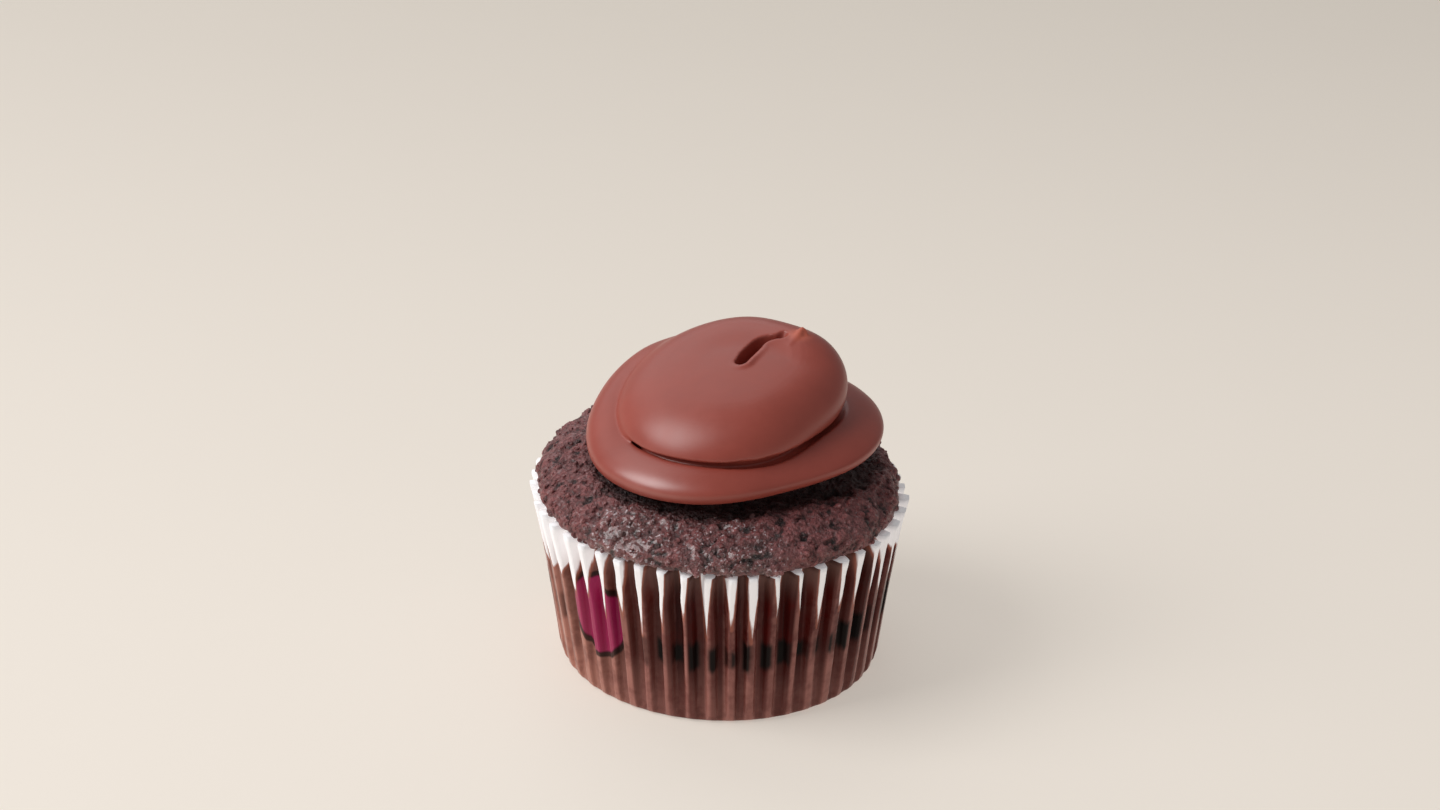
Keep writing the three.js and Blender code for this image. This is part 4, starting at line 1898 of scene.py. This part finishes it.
    def wound_ring(self, angle: np.ndarray, radius: np.ndarray, height: np.ndarray) -> Rows:
        """Raises the ring's climb, presses its crease and draws its underside in.

        Args:
            angle: Angles of the ring's points.
            radius: Their distances from its axis.
            height: Their heights.

        Returns:
            Their new distances and heights.
        """
        up = self.ring.share_up(height)
        share = self.climb(angle) * up
        under = smoothstep(-height, *self.undercut_heights) * self.undercut
        level = height / self.ring.half_height
        straight = self.ring.half_height * (1 - np.sqrt(np.clip(1 - level**2, 0, 1)))
        sloped = self.ring_slope.at(angle) * (level > 0) * (radius > self.ring_crest)
        height = height + sloped * (straight - height)
        radius = radius - self.ring_flat.at(angle) * radius / self.ring.radius
        crease = self.crease * self.open_crease(angle) + self.pit.at(angle)
        past = self.reach(angle) - self.crease_inset - radius
        inside = smoothstep(past, 0.0, self.crease_blend) * (up > 0.6)
        moved = radius - self.climb_inward * share - under
        return moved, height + self.climb_height * share - crease * inside

    def ring_form(self) -> Form:
        """The ring: its top raised by the climb and sunk into a crease along the bun.

        Returns:
            Its points and faces.
        """
        outline = self.ring.outline(48, 12)
        rows = [(0.0, -self.ring.half_height), *outline, (0.0, outline[-1][1])]
        points, faces = turned(rows, self.columns, self.wound_ring)
        return self.ring.settled(points), faces

    def proud(self, angle: np.ndarray, reach: np.ndarray) -> np.ndarray:
        """How proud the rope's start stands: most just past the slit.

        Args:
            angle: Angle round the bun, in radians.
            reach: Distance from its middle.

        Returns:
            The share of the step, from 0 to 1.
        """
        past = np.mod(angle - self.slit.seam(self.bun.centre, reach), TURN)
        rising = smoothstep(past, TURN - self.slit.step_rise, TURN)
        fading = 1 - smoothstep(past, 0, math.radians(self.slit.step_fade))
        return np.maximum(fading, rising)

    def wound_bun(self, angle: np.ndarray, radius: np.ndarray, height: np.ndarray) -> Rows:
        """Flattens the bun's plan, swells its top and raises the rope's start over its end.

        Args:
            angle: Angles of the bun's points.
            radius: Their distances from its axis.
            height: Their heights.

        Returns:
            Their new distances and heights.
        """
        out = radius / self.bun.radius
        proud = self.slit.step * self.proud(angle, radius)
        proud = proud * smoothstep(out, *self.slit.step_span)
        rise = self.bun.share_up(height) * (self.crown * (1 - out**2) + proud)
        tucked = self.tuck * self.open_crease(angle) + self.pit_tuck * self.pit.at(angle)
        below = 1 - smoothstep(height - self.ring_top(angle), *self.tuck_heights)
        reach = radius * self.reach(angle) / self.bun.radius - tucked * below * out
        return np.maximum(reach, LEAST_RADIUS), height + rise

    def bun_form(self) -> Form:
        """The bun: a rounded edge tucked in below, a swelling top, and the slit.

        Returns:
            Its points and faces.
        """
        flat = self.bun.radius - self.bun.half_width
        high = self.bun.half_height
        top = [(flat * share, high) for share in np.linspace(1, 0, self.bun_rows)[1:-1]]
        rows = [(0.0, -high), *self.bun.outline(36), *top, (0.0, high + self.crown)]
        points, faces = turned(rows, self.columns, self.wound_bun)
        up = self.bun.share_up(points[:, 2])
        points = self.bun.settled(points)
        points[:, 2] -= self.slit.sink(points) * smoothstep(up, *self.slit.top_span)
        return points, faces

    def fused(self) -> bpy.types.Object:
        """Joins the forms and fuses them into one skin.

        Returns:
            The skin, which carries how far each point is softened, most along the climb.
        """
        points: list[np.ndarray] = []
        faces: list[tuple[int, ...]] = []
        for form_points, form_faces in (self.ring_form(), self.bun_form(), self.tip.form()):
            start = sum(len(group) for group in points)
            points.append(form_points)
            faces += [tuple(start + i for i in face) for face in form_faces]
        piece = add_piece("icing_swirl", np.vstack(points), faces)
        remesh = piece.modifiers.new("fuse", "REMESH")
        remesh.mode = "VOXEL"
        remesh.voxel_size = self.voxel * MM
        bake_modifiers(piece)
        place = np.empty(len(piece.data.vertices) * 3)
        piece.data.vertices.foreach_get("co", place)
        x, y, _ = place.reshape(-1, 3).T / MM
        side, back = self.bun.centre
        outside = smoothstep(np.hypot(x - side, y - back), *self.soft_beyond)
        climb = self.climb(np.arctan2(y - back, x - side))
        carry(piece, "soften", smoothstep(climb, *self.soft_climb) * outside)
        return piece

    def smoothing(self) -> Recipe:
        """The tree that softens the fused skin and gives it the faint waves of poured icing.

        Returns:
            The tree.
        """
        inputs = {"Least": 0.5, "Most": 1.0, "Wave": self.wave * MM, "Seed": 3.0}
        recipe = Recipe("SoftenedIcing", inputs)
        canvas = recipe.canvas
        geometry = recipe["Geometry"]
        weights = (recipe["Least"], recipe.read("soften") * recipe["Most"])
        for steps, weight in zip(self.blur, weights):
            entries = {"Value": recipe.place(), "Iterations": steps, "Weight": weight}
            settings = {"data_type": "FLOAT_VECTOR"}
            blurred = canvas.node("GeometryNodeBlurAttribute", settings, entries)
            geometry = recipe.moved(geometry, canvas.result(blurred))
        wave = canvas.noise(recipe.place(), self.wave_size, detail=1.0, seed=recipe["Seed"])
        waved = recipe.pushed(geometry, recipe.normal(), wave * recipe["Wave"])
        recipe.finish(waved, self.finish.material())
        return recipe

    def build(self) -> None:
        """Makes the icing and hands it over."""
        piece = self.fused()
        self.smoothing().apply(piece)
        thin = piece.modifiers.new("thin", "DECIMATE")
        thin.ratio = min(1.0, self.most_triangles / (2 * len(piece.data.polygons)))
        bake_modifiers(piece)
        piece.data.shade_smooth()
        hand_over(piece, "icing", "icing")


# The studio.


@dataclass(frozen=True)
class Lamp:
    """A soft square lamp, aimed at the cupcake.

    Attributes:
        name: The lamp's name.
        place: Where it stands, in metres.
        size: Its side, in metres.
        power: Its power in watts.
        aim: What it points at, in metres.
    """

    name: str
    place: tuple[float, float, float]
    size: float
    power: float
    aim: tuple[float, float, float] = (0.0, 0.0, 0.03)

    def hang(self) -> None:
        """Adds the lamp to the scene."""
        data = bpy.data.lights.new(self.name, "AREA")
        data.size = self.size
        data.energy = self.power
        lamp = bpy.data.objects.new(self.name, data)
        lamp.location = self.place
        aim = Vector(self.aim) - Vector(self.place)
        lamp.rotation_euler = aim.to_track_quat("-Z", "Y").to_euler()
        bpy.context.scene.collection.objects.link(lamp)


@dataclass(frozen=True)
class Studio:
    """The pale light table, the lamps and the camera.

    Attributes:
        floor_colour: Colour of the table.
        floor_cloud: Colour of its faint clouds.
        cloud_size: Size of those clouds.
        floor_glow: Colours of the light that it gives off, near the camera and far from it.
        glow_span: How far back the near glow ends and the far one is full, in metres.
        floor_size: Side of the table, in metres.
        lamps: The lamps.
        sky: Colour of the room's light.
        sky_strength: Strength of it.
        camera_distance: How far the camera stands from the point that it was fitted on.
        camera_elevation: How far above the horizon it stands.
        focus_height: Height of that point, on the cupcake's axis.
        lens: Its focal length.
        frame_width: Width of the photograph, in pixels.
        target_pixel: Where the photograph shows that point.
        frame_middle: Middle of the photograph.
    """

    floor_colour: Colour = srgb(184, 177, 168)
    floor_cloud: Colour = srgb(187, 180, 171)
    cloud_size: float = 60.0
    floor_glow: tuple[Colour, Colour] = (srgb(177, 170, 162), srgb(136, 130, 122))
    glow_span: tuple[float, float] = (-0.12, 0.5)
    floor_size: float = 3.0
    lamps: tuple[Lamp, ...] = (
        Lamp("window", (-0.88, -0.16, 0.84), 0.8, 10.6),
        Lamp("back_window", (-0.35, 0.8, 0.75), 1.0, 2.5),
    )
    sky: Colour = srgb(245, 244, 244)
    sky_strength: float = 0.28
    camera_distance: float = 526.6
    camera_elevation: float = 27.95
    focus_height: float = 25.0
    lens: float = 75.0
    frame_width: int = 1440
    target_pixel: tuple[float, float] = (718.0, 516.8)
    frame_middle: tuple[float, float] = (720.0, 405.0)

    def lay_floor(self) -> None:
        """Adds the floor, which isn't part of the cupcake."""
        half = self.floor_size / 2 / MM
        corners = np.array([(-half, -half, 0), (half, -half, 0), (half, half, 0), (-half, half, 0)])
        floor = add_piece("floor", corners, [(0, 1, 2, 3)])
        paint = Dressing("pale_table")
        place = paint.place()
        tone, _ = paint.mottle(place, self.cloud_size, strength=0.4)
        colour = paint.blend(tone, self.floor_colour, self.floor_cloud)
        surface = {"Base Color": colour, "Roughness": 0.75, "Specular IOR Level": 0.2}
        near, far = self.floor_glow
        back = paint.axes(place)[1].eased(*self.glow_span)
        glow = {"Emission Color": paint.blend(back, near, far), "Emission Strength": 1.0}
        floor.data.materials.append(paint.coat(surface | glow))

    def light(self) -> None:
        """Hangs the lamps and lights the room."""
        for lamp in self.lamps:
            lamp.hang()
        world = bpy.data.worlds.new("room")
        world.use_nodes = True
        background = world.node_tree.nodes["Background"]
        background.inputs["Color"].default_value = self.sky
        background.inputs["Strength"].default_value = self.sky_strength
        bpy.context.scene.world = world
        bpy.context.scene.view_settings.view_transform = "Standard"

    def place_camera(self) -> None:
        """Puts the camera at the photograph's viewing angle, aimed so that it frames alike."""
        elevation = math.radians(self.camera_elevation)
        away = Vector((0, -math.cos(elevation), math.sin(elevation)))
        target = Vector((0, 0, self.focus_height * MM))
        focal = self.lens / SENSOR_WIDTH * self.frame_width
        aim_up = math.atan((self.target_pixel[1] - self.frame_middle[1]) / focal)
        aim_right = math.atan((self.frame_middle[0] - self.target_pixel[0]) / focal)
        data = bpy.data.cameras.new("camera")
        data.lens = self.lens
        data.sensor_width = SENSOR_WIDTH
        camera = bpy.data.objects.new("camera", data)
        tilt = Matrix.Rotation(math.pi / 2 - elevation + aim_up, 4, "X")
        pan = Matrix.Rotation(-aim_right, 4, "Z")
        stand = Matrix.Translation(target + away * self.camera_distance * MM)
        camera.matrix_world = stand @ pan @ tilt
        bpy.context.scene.collection.objects.link(camera)
        bpy.context.scene.camera = camera

    def build(self) -> None:
        """Sets up the whole studio."""
        self.place_camera()
        self.lay_floor()
        self.light()


def main() -> None:
    """Builds the studio and then the cupcake, from the case up."""
    uneven = Unevenness()
    Studio().build()
    PaperCase(uneven, PaperFinish()).build()
    icing = Icing(IcingFinish())
    Cake(uneven, CrumbFinish(), icing).build()
    icing.build()


if __name__ == "__main__":
    main()
